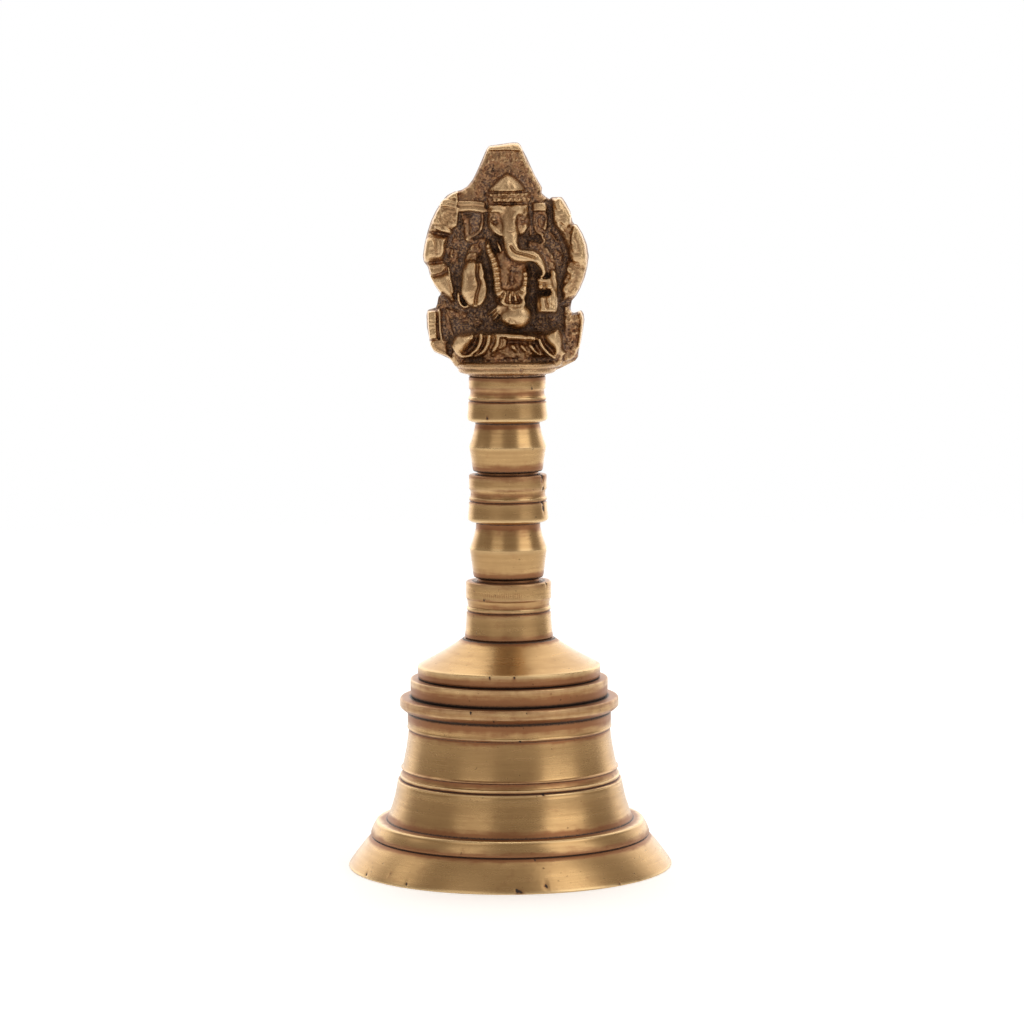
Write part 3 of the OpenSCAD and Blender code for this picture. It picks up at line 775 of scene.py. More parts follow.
def carve_behind(r):
    """What shows between the figure and the bands: rear arms, ears, sleeves and plain ridges."""
    for x, h, tall in (
        (-9.5, 12.6, 1.4), (-6.2, 11.2, 0.9), (-3.2, 11.6, 1.1), (6.6, 11.4, 1.1), (9.6, 12.2, 1.3),
        (-11.9, 26, 2.2), (10.9, 25, 2.0),
    ):
        r.dome(x, h, 1.5, tall, 0.35, -0.6, 20, rough=1.4)
    r.line([[-10.9, 30], [-11.6, 27.4], [-11.6, 23.6], [-10.9, 19]], 0.32, 0.45)
    r.line([[-9.9, 29], [-10.4, 26], [-10.3, 22]], 0.26, 0.28)
    r.line([[9.4, 30.6], [10.8, 28.4], [11.5, 26], [11.3, 22]], 0.28, 0.4)
    r.line([[8.3, 29.2], [9.8, 27.4], [10.4, 25]], 0.24, 0.3)
    r.pad([[-10.2, 37.1], [-4.5, 37.05], [-4.3, 35.1], [-10, 35]], 1.7, 0.3, smooth=0)
    r.limb([[-10.1, 36.95], [-7, 37.0], [-4.6, 36.75]], 0.55, 2.2, flat=0.8)
    r.limb([[-10, 35.6], [-7.4, 35.65], [-4.5, 35.4]], 0.62, 2.4, flat=0.8)
    r.pad([[5.5, 37.1], [8.1, 37.15], [9, 36.3], [8.9, 35.1], [5.5, 35]], 2.2, 0.6, 0.3, smooth=0)
    r.line([[5.7, 35.9], [8.8, 35.8]], 0.18, -0.18)
    # Grime and painted shade between the figure and the bands.
    r.soil_and_shade([[-10.4, 29], [-4.4, 29], [-4.2, 34.8], [-10, 34.8]], 0.5)
    r.soil_and_shade([[5.3, 29], [9.6, 29], [9.2, 34.8], [5.4, 34.8]], 0.5)
    r.soil_and_shade([[4.6, 29.6], [9.6, 29.6], [12.6, 26], [11.8, 17], [9.8, 17], [9.4, 24], [7.6, 27.6]], 0.4)
    r.soil_and_shade([[-11, 29.4], [-4.6, 29.4], [-5, 25.2], [-9.8, 24.4], [-10.6, 16], [-11.6, 18], [-12.6, 24]], 0.35)
    # left ear: outer fold, hollow, inner rim
    r.pad([
        [-9.9, 34.9], [-4.7, 34.9], [-4.6, 31.6], [-5.8, 30.8], [-8.3, 29.4], [-9.7, 31],
    ], 0.35, 0.3, smooth=0, rough=0.5)
    r.limb([
        [-9.2, 34.7], [-8.7, 33.2], [-8.3, 31.4], [-8.6, 30.2],
    ], [0.55, 0.8, 0.8, 0.6], [1.2, 1.3, 1.2, 1.0], rough=0.5)
    r.limb([[-5.1, 34.7], [-5.05, 33], [-5.4, 31.5]], 0.4, 1.45)
    r.line([[-9, 34.75], [-7.6, 34.7]], 0.26, -0.9)
    r.limb([[-8.6, 29.4], [-7.4, 29.9], [-5.7, 30.9]], 0.5, 1.15, rough=0.3)
    r.limb([[-8.2, 29], [-6.4, 28.9], [-4.8, 29.3]], 0.4, 0.8, rough=0.4)
    # right ear
    r.pad([
        [5.6, 35], [9, 35], [8.9, 31.4], [7.9, 29.9], [6.2, 29.9], [5.5, 31],
    ], 0.5, 0.3, smooth=0, rough=0.5)
    r.limb([[6.1, 34.8], [6.0, 32.6], [6.6, 30.9], [7.8, 30.1]], 0.42, 1.25, rough=0.3)
    r.limb([[6.4, 34.7], [8.5, 34.6], [8.7, 33], [8.2, 31.4]], 0.42, 1.2, rough=0.3)
    r.limb([[7.2, 33.6], [7.0, 32.4], [7.6, 31.8]], 0.3, 1.0, rough=0.4)
    r.limb([[5.2, 37], [5.15, 33.5], [5.2, 30]], 0.34, 1.0)
    r.limb([[7.6, 29.8], [8.2, 28.6], [6.6, 27.9]], 0.35, 1.0, rough=0.4)
    r.line([
        [9.2, 35.2], [9.15, 32.8], [9.8, 31.5], [11, 30.1], [12, 28.6], [12.6, 26.6], [12.8, 24.9],
    ], 0.36, -0.9)
    # sleeves
    r.limb([[-5.2, 28.4], [-6.6, 26.8], [-7.6, 24.8]], [1.4, 1.7, 1.6], [0.7, 1.3, 2.0], flat=0.8, rough=0.9)
    r.line([[-7.9, 27.9], [-7.2, 26.6], [-6.5, 25.4]], 0.2, 0.35)
    r.line([[-6.2, 28.2], [-6, 27.2]], 0.2, 0.35)
    sleeve = [[5.4, 28.2], [7.4, 27], [9, 25], [9.7, 22], [9.9, 19]]
    r.limb(sleeve, [0.9, 1.2, 1.2, 1.1, 1.0], [0.9, 1.3, 1.6, 1.9, 2.2], flat=0.6, rough=1.1)


def carve_throne(r):
    wing = [
        [-17, 13.9], [-15, 14.1], [-12.2, 13.6], [-12.8, 10], [-12.3, 6], [-11.4, 3.4], [-13.6, 4.6],
        [-15.6, 5.5], [-16.4, 7],
    ]
    r.pad(wing, 0.5, 0.4, smooth=0, rough=0.7)
    r.pad([[-17.05, 13.9], [-15, 14], [-14.95, 8], [-16.7, 7.8], [-17, 10.6]], 1.7, 0.4, 0.2, smooth=0)
    r.ribs([[-17, 13.6], [-15, 13.6], [-15, 8.2], [-16.8, 8]], 90, 0.78, 0.2, 0.2)
    r.limb([[-14.5, 14], [-14.4, 10.4], [-14, 7.6], [-13.2, 5.4]], 0.32, 1.7)
    r.line([[-14.92, 14], [-14.9, 10.4], [-14.6, 7.6]], 0.14, -0.9)
    r.line([[-13.5, 13.4], [-13.5, 10.4], [-13, 7.4]], 0.3, -0.7)
    r.limb([[-12.9, 12.9], [-12.4, 10.6], [-11.9, 9]], 0.5, 0.7, rough=0.5)
    r.pad([
        [-16.5, 7.5], [-16.1, 6], [-14.8, 5.2], [-12.6, 4.5], [-12.6, 7.6], [-14.6, 7.9],
    ], 1.5, 0.5, 0.2, smooth=0, rough=0.3)
    r.limb([[-16.4, 7.1], [-15.7, 5.7], [-14.4, 5], [-12.7, 4.3], [-11.5, 2.9]], 0.3, 2.2)
    r.dots([[-13.35, 15.5]], 0.3, 1.1)
    r.pad([[-13.4, 14.6], [-9, 13.8], [-8.4, 12.6], [-12.2, 12.4]], 0.3, 0.3, smooth=0, rough=0.6)
    right = [
        [12, 2.6], [14.4, 3.6], [15.1, 5], [15.8, 8], [16.3, 11], [16.1, 13.3], [14.4, 12.9], [13.2, 14.8],
        [12.2, 13], [12.2, 8],
    ]
    r.pad(right, 1.0, 0.5, smooth=0, rough=1.3)
    r.limb([[15.7, 13.4], [16.1, 12], [15.9, 9.4], [15.4, 6]], 0.34, 1.9)
    r.limb([[12.7, 14.4], [12.8, 11], [12.4, 8]], 0.4, 1.2, rough=0.8)
    # ground behind the folded legs, and the dark front of the seat; grime and painted shade darken the ground
    # under the legs and beside the seat
    r.pad([
        [-11.6, 2.2], [-9, 0.8], [9, 0.8], [11.8, 2.2], [12.2, 5], [12, 9], [6.6, 9.6], [-6, 9.4],
        [-11.4, 8.6], [-12, 5],
    ], 2.6, 0.8, smooth=0, rough=1.1)
    r.pad([[-5.5, 0.8], [5.5, 0.8], [5.5, 9.4], [-5.5, 9.4]], 4.2, 1.4, smooth=0, rough=1.2)
    r.soil_and_shade([
        [-11, 1.2], [11, 1.2], [11.6, 4.2], [7.4, 4.3], [-0.4, 4.7], [-3, 4.6], [-7, 4.0], [-11, 3.9],
    ], 1.1, 0.5)
    r.soil_and_shade([[-0.2, 4.4], [6.8, 4.2], [6.4, 7.2], [-0.6, 7.2]], 0.3)
    r.soil_and_shade([
        [-12.5, 9.6], [-5, 9.4], [4, 9.2], [9, 10.6], [12, 10.4], [12, 14], [6, 13.6], [-3, 13], [-9, 14],
        [-13, 14],
    ], 0.5)
    r.soil_and_shade([[12.4, 3], [15, 5], [15.4, 9], [15.2, 13], [12.2, 13.4]], 0.35)
    r.soil_and_shade([[-14.9, 14], [-12.4, 14], [-12, 6], [-14.2, 7]], 0.5)


def carve_legs(r):
    r.pad([
        [-10.6, 4], [-11.6, 6], [-11.2, 8.6], [-6, 9.2], [0, 8.9], [6.4, 8.9], [9, 9.4], [11.6, 9.6],
        [11.8, 6.4], [10.8, 4],
    ], 3.6, 1.0, rough=0.6)
    # folds of the cloth over both shins
    for points, top in (
        ([[-0.3, 8.2], [-0.7, 6.4], [-1.4, 5.0]], 4.4),
        ([[-1.9, 8.7], [-2.1, 7], [-2.9, 5.5], [-4.0, 4.6]], 5.2),
        ([[-3.8, 8.7], [-4.15, 7], [-5.2, 5.2], [-6.9, 4.15]], 5.6),
        ([[-5.5, 9.1], [-5.7, 7.4], [-6.6, 5.7], [-8.2, 4.6]], 5.9),
    ):
        r.limb(
            points, [0.54] * (len(points) - 1) + [0.36], [top + 0.3] * (len(points) - 1) + [top - 1.2],
            flat=1.3,
        )
    for points, top in (
        ([[1.2, 6.6], [1.7, 5.7], [2.5, 4.9]], 4.9),
        ([[3.1, 6.6], [3.7, 5.7], [4.6, 4.7]], 5.1),
        ([[4.9, 6.8], [5.6, 5.7], [6.7, 4.6]], 5.3),
        ([[6.9, 7.8], [7.7, 6.1], [8.9, 4.8], [10.2, 3.9]], 5.9),
    ):
        r.limb(
            points, [0.48] * (len(points) - 1) + [0.34], [top + 0.2] * (len(points) - 1) + [top - 1.0],
            flat=1.3,
        )
    knee = [
        [-10.2, 9.15], [-7.3, 9.35], [-7.05, 8.2], [-7.7, 6.7], [-8.6, 5.6], [-9.6, 5], [-10.9, 5.5],
        [-11.7, 6.9], [-11.3, 8.3],
    ]
    r.pad(knee, 6.6, 1.9, 1.2)
    r.limb([[-11.6, 6.6], [-10.6, 5.1], [-9.3, 4.3], [-7.6, 4.5]], 0.42, 5.6)
    r.limb([[-7.35, 9.2], [-7.4, 8.1]], 0.3, 6.3)
    knee = [
        [7.9, 9.2], [9.4, 9.8], [11, 10.3], [11.6, 8.7], [11.85, 7], [11.3, 5.1], [10.3, 4.3], [9.9, 5.6],
        [8.6, 6.8], [8, 8],
    ]
    r.pad(knee, 6.6, 1.7, 1.2)
    r.line([[8, 8.1], [8.9, 6.8], [10, 5.6]], 0.16, -0.4)
    # shin and toes
    r.limb([[-2.2, 8.9], [0, 8.75], [3.3, 8.5]], [0.5, 0.55, 0.55], [5.4, 6.0, 6.2])
    r.limb([[0.2, 8.1], [3.2, 7.95]], 0.3, 6.0)
    for x, h in ((3.75, 8.25), (4.55, 8.35), (5.25, 8.3), (5.9, 8.15)):
        r.dome(x, h, 0.42, 0.62, 6.4, 5.2)
    r.limb([[3.4, 7.7], [5.9, 7.6]], 0.26, 5.7)
    r.line([[0.4, 7.25], [3, 7.15], [5.8, 7.0]], 0.36, -0.8)


def carve_body(r):
    r.dome(0.9, 20.5, 4.1, 9.5, 4.0, 1.4, rough=0.5)
    r.dome(2.3, 12.9, 3.2, 3.0, 6.3, 3.4)
    r.dome(0.8, 12.6, 2.3, 2.3, 5.7, 3.4)
    # navel, its dark ring and the belt's shadow
    r.line([[-0.4, 11.3], [0.5, 10.7], [1.6, 10.6]], 0.3, -0.7)
    r.dome(0.9, 11.4, 0.62, 0.5, 6.1, 5.2, -25)
    r.line([[0.1, 12], [0.9, 12.2], [1.7, 11.6]], 0.16, -0.45)
    # chest hollow between the strands, darkened with grime and painted shade
    r.line([[1.4, 22.8], [1.3, 21], [1.2, 19.6]], 1.0, -1.3)
    r.line([[0.6, 22.4], [0.5, 20.6], [0.9, 19.2]], 0.2, 0.4)
    r.roughen([[-1, 18.8], [3.2, 18.8], [3.2, 23], [-1, 23]], 0.9)
    r.soil_and_shade([[-1.6, 18.6], [3.4, 18.6], [3.6, 24], [-1.6, 25.4]], 0.5)
    r.soil_and_shade([[-0.8, 15.6], [3.0, 15.6], [3.2, 18.2], [-1, 18.2]], 0.3)
    # sash
    for fold in (
        [[-0.5, 14.9], [-2.9, 11.9]], [[-1.8, 15.1], [-3.9, 13.1]],
        [[-1.2, 14.9], [-3.2, 12.7]], [[-0.1, 14.2], [-2.1, 11.6]],
    ):
        r.limb(fold, [0.32, 0.26], [4.7, 3.6])
    # pouch under the necklace
    r.pad([
        [-1.4, 18.4], [3.4, 18.4], [3.3, 16.6], [2.2, 15.6], [0.4, 15.4], [-1, 16.2],
    ], 4.3, 0.5, 0.2, rough=1.2)
    hem = [[-1.7, 18.2], [-0.9, 17.3], [0.3, 16.95], [1.6, 16.9], [2.8, 17.3], [3.5, 18.2]]
    r.limb(hem, 1.1, 5.7, flat=0.8, bands=(1.15, 1.7))
    r.line([[-1.2, 18.4], [0.2, 18.2], [1.8, 18.2], [3.0, 18.5]], 0.16, 0.3)
    r.line([[-0.8, 16.5], [0.6, 17.3], [1.4, 17.8]], 0.14, 0.35)
    r.line([[2.9, 16.6], [1.6, 17.2], [0.9, 17.9]], 0.14, 0.35)
    r.line([[-0.8, 17.6], [0.5, 16.8], [2.2, 16.7], [3.0, 17.4]], 0.15, -0.35)
    # garland
    strand = [
        [-4.0, 28.6], [-3.7, 27], [-3, 25.2], [-2.5, 23.6], [-2.2, 21.8], [-2.05, 20], [-1.95, 18.6],
        [-1.7, 17.6],
    ]
    r.limb(
        strand, [0.5, 0.8, 0.95, 1.0, 1.0, 0.95, 0.9, 0.8], [3.2, 4.2, 4.9, 5.2, 5.4, 5.5, 5.6, 5.7],
        bands=(1.05, 1.2),
    )
    r.limb([
        [4.0, 22.5], [4.15, 21.2], [3.95, 19.6], [3.6, 18], [3.6, 16.8],
    ], 0.68, [4.6, 5.0, 5.4, 5.6, 5.6], bands=(0.95, 1.1))
    r.limb([[-1.3, 16.1], [-0.4, 15.4], [0.6, 15.2]], 0.36, 5.6, bands=(0.7, 0.4))
    r.limb([[0.7, 15.3], [1.8, 15.1], [3.0, 15.3], [3.7, 16.2]], 0.42, 6.1, bands=(0.72, 0.5))
    r.limb([[0.5, 14.7], [1.8, 14.4], [3.2, 14.7], [4.0, 15.7]], 0.26, 6.3)
    r.line([[0.9, 14.95], [2.0, 14.75], [3.3, 15.0]], 0.13, -0.5)


def carve_hands(r):
    # blessing hand
    r.limb([[-10.4, 17.8], [-10.2, 16], [-9.4, 14.9], [-8.4, 14.8]], 0.42, 2.9)
    palm = [
        [-6.6, 24.75], [-7.8, 24.7], [-9, 24], [-9.6, 22.4], [-9.9, 20.4], [-9.9, 18], [-9.4, 16.4],
        [-8.3, 15.1], [-7, 14.45], [-5.6, 14.8], [-4.5, 16.1], [-4.05, 17.8], [-4.1, 19.8], [-4.4, 21.4],
        [-5.1, 22.8], [-5.7, 24.4],
    ]
    r.pad(palm, 4.5, 1.3, 0.8)
    r.dome(-8.1, 18.6, 1.75, 2.1, 4.75, 3.9)
    r.line([[-6.9, 20.3], [-6.3, 19.6], [-6.35, 18.2], [-7, 16.9], [-7.6, 16.6]], 0.17, 0.35)
    r.line([
        [-6.15, 24.6], [-6.25, 23], [-6.25, 21.4], [-5.85, 20.2], [-5.95, 19], [-6.4, 17.6], [-6.75, 15.4],
    ], 0.27, -1.5)
    r.line([[-8.6, 24.1], [-8.9, 22.9], [-8.3, 21.6], [-8.1, 20.8]], 0.16, -0.45)
    r.line([[-7.6, 24.4], [-7.7, 23], [-7.5, 21.3]], 0.15, -0.4)
    r.line([[-9.2, 23], [-9.35, 21.6], [-8.7, 20.6]], 0.14, 0.3)
    r.line([[-6.9, 24.3], [-7.0, 22.6], [-6.8, 21.2]], 0.13, 0.22)
    r.dots([[-7.1, 19.9], [-6.9, 20.5]], 0.28, 0.35)
    r.limb([[-5.5, 24.2], [-5.2, 22.9], [-4.9, 21.9]], 0.36, 4.5)
    r.limb([[-5.0, 20.6], [-4.5, 18.8], [-4.8, 16.9], [-5.8, 15.3]], 0.5, 4.6)
    r.line([[-5.3, 19.9], [-5.1, 18.4], [-5.4, 17.2]], 0.2, -0.35)
    r.line([[-4.4, 21.1], [-5.2, 20.7]], 0.18, -0.5)
    # hand with the bowl of sweets
    r.limb([[10.1, 17.4], [10.2, 19.6], [10, 22]], [0.9, 0.9, 0.8], 3.2, rough=0.2)
    r.pad([[6.5, 18.1], [9.9, 18.1], [9.9, 20.4], [6.5, 20.4]], 3.7, 0.4, smooth=0)
    r.limb([[6.75, 20.55], [8, 20.45], [9.1, 20.55]], 0.48, 4.7)
    r.dome(7.25, 19.1, 0.8, 0.75, 4.8, 3.6)
    r.dome(9.1, 19.15, 0.85, 0.8, 4.9, 3.6)
    r.dots([[9.15, 19.65]], 0.22, -0.6)
    r.line([[7.9, 19.8], [8.15, 18.7]], 0.2, -0.4)
    hand = [
        [6.5, 13.3], [10.8, 13.25], [11.05, 15], [11, 17.2], [10.5, 18.4], [9.6, 18.7], [9.0, 17.4],
        [6.6, 17.3], [6.2, 15.4],
    ]
    r.pad(hand, 4.6, 0.9, 0.5, smooth=0)
    r.line([[6.7, 17.65], [7.8, 17.75], [9, 17.9]], 0.34, -1.5)
    r.line([[6.95, 17], [6.9, 15.6], [7.0, 14.3]], 0.2, -0.8)
    r.line([[8.15, 17], [8.4, 15.8], [8.75, 14.5]], 0.27, -0.9)
    r.line([[9.35, 17], [9.6, 16], [9.85, 15.1]], 0.18, -0.6)
    r.line([[9.1, 17.4], [9.35, 16.4], [9.3, 15.1]], 0.14, 0.35)
    r.line([[9.6, 14.85], [10.7, 15.0]], 0.13, -0.3)
    r.line([[7.3, 13.9], [9, 13.8], [10.8, 13.95]], 0.36, 0.35)
    r.dots([[9.65, 17.65]], 0.2, -0.5)


def carve_head(r):
    # crown
    w = r.window([[-5, 39], [5.4, 43.8]], 0)
    x, h = r.xx[w], r.hh[w]
    rise = np.clip((h - 39.3) / 4.0, 0, 1)
    left = -4.1 + 3.9 * rise**1.35
    right = 4.3 - 3.8 * rise**2.1
    middle = (left + right) / 2
    half = np.maximum((right - left) / 2, 1e-3)
    rho = np.clip(np.abs(x - middle) / half, 0, 1)
    peak = 2.2 + 2.9 * np.sqrt(np.clip(1 - rise**1.6, 0, 1))
    shape = 1.2 + (peak - 1.2) * (1 - rho**2.2) ** 0.6
    r.over(w, np.where((h > 39.3) & (h < 43.3) & (x > left) & (x < right), shape, LOW))
    r.line([[1.3, 42.0], [0.9, 40.9], [1.0, 39.9]], 0.5, -0.3)
    r.line([[-0.2, 40.9], [0.0, 40.4], [0.1, 39.8]], 0.13, -0.3)
    # headband with its beads; grime and painted shade darken it, most at its left end and beneath it
    w = r.window([[-4.4, 37.0], [5.3, 39.3]], 0)
    x, h = r.xx[w], r.hh[w]
    bow = np.clip(1 - ((x - 0.5) / 4.8) ** 2, 0, 1)
    upper = h > 38.25
    along = (x - 0.15 + 0.36 * upper + 0.1 * r.coarse[w]) / np.where(upper, 0.86, 1.12)
    across = np.where(upper, (h - 38.8) / 0.52, (h - 37.7) / 0.56)
    beads = (0.95 + 0.25 * r.coarse[w]) * np.sin(math.pi * along) ** 2 * np.clip(1 - across**2, 0, 1)
    r.over(w, np.where(bow > 0, 1.0 + 3.1 * bow**0.7 + beads, LOW), 0.6)
    r.soil_and_shade([[-4.3, 37.1], [5.2, 37.1], [5.2, 39.2], [-4.2, 39.2]], 0.42, 0.3)
    r.soil_and_shade([[-4.3, 37], [-2.2, 37], [-1.9, 39.3], [-4.2, 39.3]], 0.65)
    r.soil_and_shade([[3.0, 37], [5.2, 37], [5.2, 39.3], [3.4, 39.3]], 0.3)
    r.line([[-4, 37.15], [0.4, 37.1], [4.9, 37.2]], 0.16, 0.3)
    r.soil_and_shade([[-4, 36.4], [5, 36.4], [5, 37.1], [-4, 37.1]], 0.35, 0.2)
    r.line([[-3.8, 39.25], [-1.9, 39.3]], 0.22, -0.9)
    r.line([[2.1, 39.3], [4.1, 39.35]], 0.22, -0.9)
    # face
    r.dome(0.45, 33.4, 4.7, 4.6, 4.9, 1.2)
    r.pad([
        [-4, 37.1], [4.9, 37.1], [4.9, 34.6], [3.6, 33], [-2.9, 33.2], [-3.9, 35],
    ], 4.1, 1.0, 0.5, smooth=0)
    # trunk root, trunk, curl
    trunk = [
        [0.4, 35.2], [0.45, 33.9], [0.6, 32.4], [0.85, 30.8], [0.95, 29.2], [1.1, 27.7], [1.6, 26.5],
        [2.7, 25.75], [4.2, 25.65], [5.8, 25.5], [6.9, 24.6], [7.6, 23.3], [7.95, 22.2],
    ]
    radii = [1.9, 1.75, 1.65, 1.75, 1.78, 1.6, 1.5, 1.5, 1.5, 1.4, 1.15, 0.85, 0.6]
    tops = [4.9, 5.15, 5.5, 5.9, 6.2, 6.5, 6.8, 6.9, 6.9, 6.8, 6.5, 6.1, 5.6]
    r.limb(trunk, radii, tops, flat=0.9)
    r.limb([
        [7.95, 22.2], [7.9, 21.55], [7.35, 21.35], [6.85, 21.6],
    ], [0.55, 0.42, 0.36, 0.3], [5.7, 5.5, 5.4, 5.2])
    for k in range(9):
        h0 = 33.4 - 0.62 * k
        r.line([[-0.8 + 0.06 * k, h0], [0.6 + 0.05 * k, h0 - 0.16], [1.9 + 0.02 * k, h0 + 0.05]], 0.15, -0.2)
    r.line([[0.95, 27.7], [1.7, 26.8], [2.7, 26.3], [4.2, 25.95], [6.1, 25.3]], 0.32, -1.35)
    # Grime and painted shade along the crease under the trunk.
    r.soil_and_shade([[0.6, 28], [1.3, 28], [2.9, 26.7], [6.3, 25.8], [6.2, 24.9], [3, 25.8], [1.2, 26.7]], 0.55, 0.3)
    r.line([[0.1, 30.95], [1.1, 30.7], [2.3, 30.95]], 0.17, -0.4)
    r.line([[0.9, 26.9], [1.3, 26.3]], 0.2, -0.3)
    r.line([[0.15, 26.8], [0.9, 25.3], [2.2, 24.75], [5.6, 24.6]], 0.22, 0.25)
    r.line([[2.3, 28], [3.2, 27.15], [5.6, 26.9], [7, 25.9], [8.1, 23.6]], 0.22, 0.25)
    fringe = (
        (-3.2, 36.2), (-2.2, 36.1), (-1.2, 36.3), (-0.4, 36.1), (0.3, 36.4), (1.1, 36.2), (2.0, 36.3),
        (3.1, 36.2), (4.1, 36.1),
    )
    for k, (x, h) in enumerate(fringe):
        r.dome(x, h, 0.46, 0.42, 4.95 - 0.035 * (x - 0.4) ** 2 + 0.1 * (k % 2), 3.6, rough=0.2)
    r.line([[-3.8, 35.65], [-2.4, 35.55], [-0.9, 35.6]], 0.16, -0.4)
    r.line([[-4.2, 36.9], [0.4, 36.75], [5.0, 36.95]], 0.25, -1.1)
    r.line([[-4.2, 38.28], [0.4, 38.2], [5.0, 38.3]], 0.14, -0.45)
    r.line([[-4.2, 37.2], [0.4, 37.1], [5.0, 37.25]], 0.14, 0.35)
    # two bosses of the forehead and the creases beside the trunk
    r.dome(-1.5, 35.5, 1.7, 1.25, 5.35, 4.2)
    r.dome(2.3, 35.5, 1.7, 1.3, 5.4, 4.2)
    r.line([[-1.6, 34.5], [-1.25, 33.2], [-0.95, 31.6]], 0.26, -0.6)
    r.line([[2.45, 34.6], [2.5, 33.2], [2.6, 31.2]], 0.26, -0.6)
    # cheeks
    r.limb([[-2.9, 32.4], [-2.2, 31.2], [-1.5, 30.7]], [0.9, 0.85, 0.7], [4.5, 4.6, 4.5])
    r.limb([[3.2, 32.9], [3.9, 31.7], [3.3, 30.6]], [0.8, 0.8, 0.6], [4.0, 3.8, 3.4], rough=0.3)
    # brow and eyes; grime and painted shade darken the sockets and the forehead
    r.limb([[-3.2, 35.2], [-1.8, 35.2]], 0.28, 4.8)
    r.line([[-3.1, 34.8], [-1.7, 34.8]], 0.2, -0.8)
    r.soil_and_shade([[-3.9, 35.1], [-1.2, 35.1], [-1.0, 32.2], [-3.3, 31.6]], 0.95, 0.8)
    r.soil_and_shade([[2.4, 34.9], [4.9, 34.9], [4.8, 31.5], [2.7, 31.7]], 0.95, 0.8)
    r.soil_and_shade([[-1.1, 35.6], [1.2, 35.8], [1.5, 31.0], [-0.4, 31.0]], 0.5, 0.9)
    r.soil_and_shade([[-3.9, 35], [-3.0, 36.6], [-1, 36.9], [-1.6, 35.6]], 0.3, 0.5)
    r.dots([[-2.9, 33.3], [-2.0, 33.0], [-2.6, 32.7]], 0.7, -0.8)
    r.dome(-2.5, 33.5, 0.7, 0.42, 4.2, 3.7)
    r.line([[-3.5, 32.6], [-2.2, 32.25], [-1.2, 32.9]], 0.16, 0.3)
    r.limb([[2.8, 36], [2.3, 35], [1.7, 34.1]], [0.5, 0.5, 0.4], 5.5)
    r.line([[1.5, 35.4], [1.9, 35.1]], 0.18, -0.5)
    r.line([[2.3, 33.9], [1.7, 33.1], [1.9, 32.2]], 0.3, 0.4)
    r.dots([[3.3, 33.5], [4.0, 33.1], [3.1, 32.7]], 0.65, -0.8)
    r.dome(3.6, 33.5, 0.5, 0.32, 4.0, 3.5)
    r.line([[2.9, 34.2], [3.7, 34.4], [4.3, 33.9]], 0.16, 0.3)
    # tusk
    r.limb([[-1.95, 28.7], [-1.6, 27.8], [-1.2, 26.7]], [0.3, 0.42, 0.3], [4.4, 4.9, 4.6])
    r.limb([[-1.7, 30.6], [-1.4, 30.1], [-0.8, 30.4]], 0.3, 4.9)


def smooth_max(a, b, k):
    t = np.clip(0.5 + 0.5 * (a - b) / k, 0, 1)
    return b + (a - b) * t + k * t * (1 - t)


CARVINGS = (
    carve_plate, carve_left_band, carve_right_band, carve_behind, carve_throne, carve_body, carve_legs,
    carve_hands, carve_head,
)
VOXEL = 0.195
FOOT_STEP = 0.06
FOOT_LIMIT = 4.6


def sample(field, px, ph):
    """Value of a field between its grid places, for places counted in steps."""
    i = np.clip(px.astype(int), 0, field.shape[1] - 2)
    j = np.clip(ph.astype(int), 0, field.shape[0] - 2)
    u, v = px - i, ph - j
    low = field[j, i] * (1 - u) + field[j, i + 1] * u
    high = field[j + 1, i] * (1 - u) + field[j + 1, i + 1] * u
    return low * (1 - v) + high * v


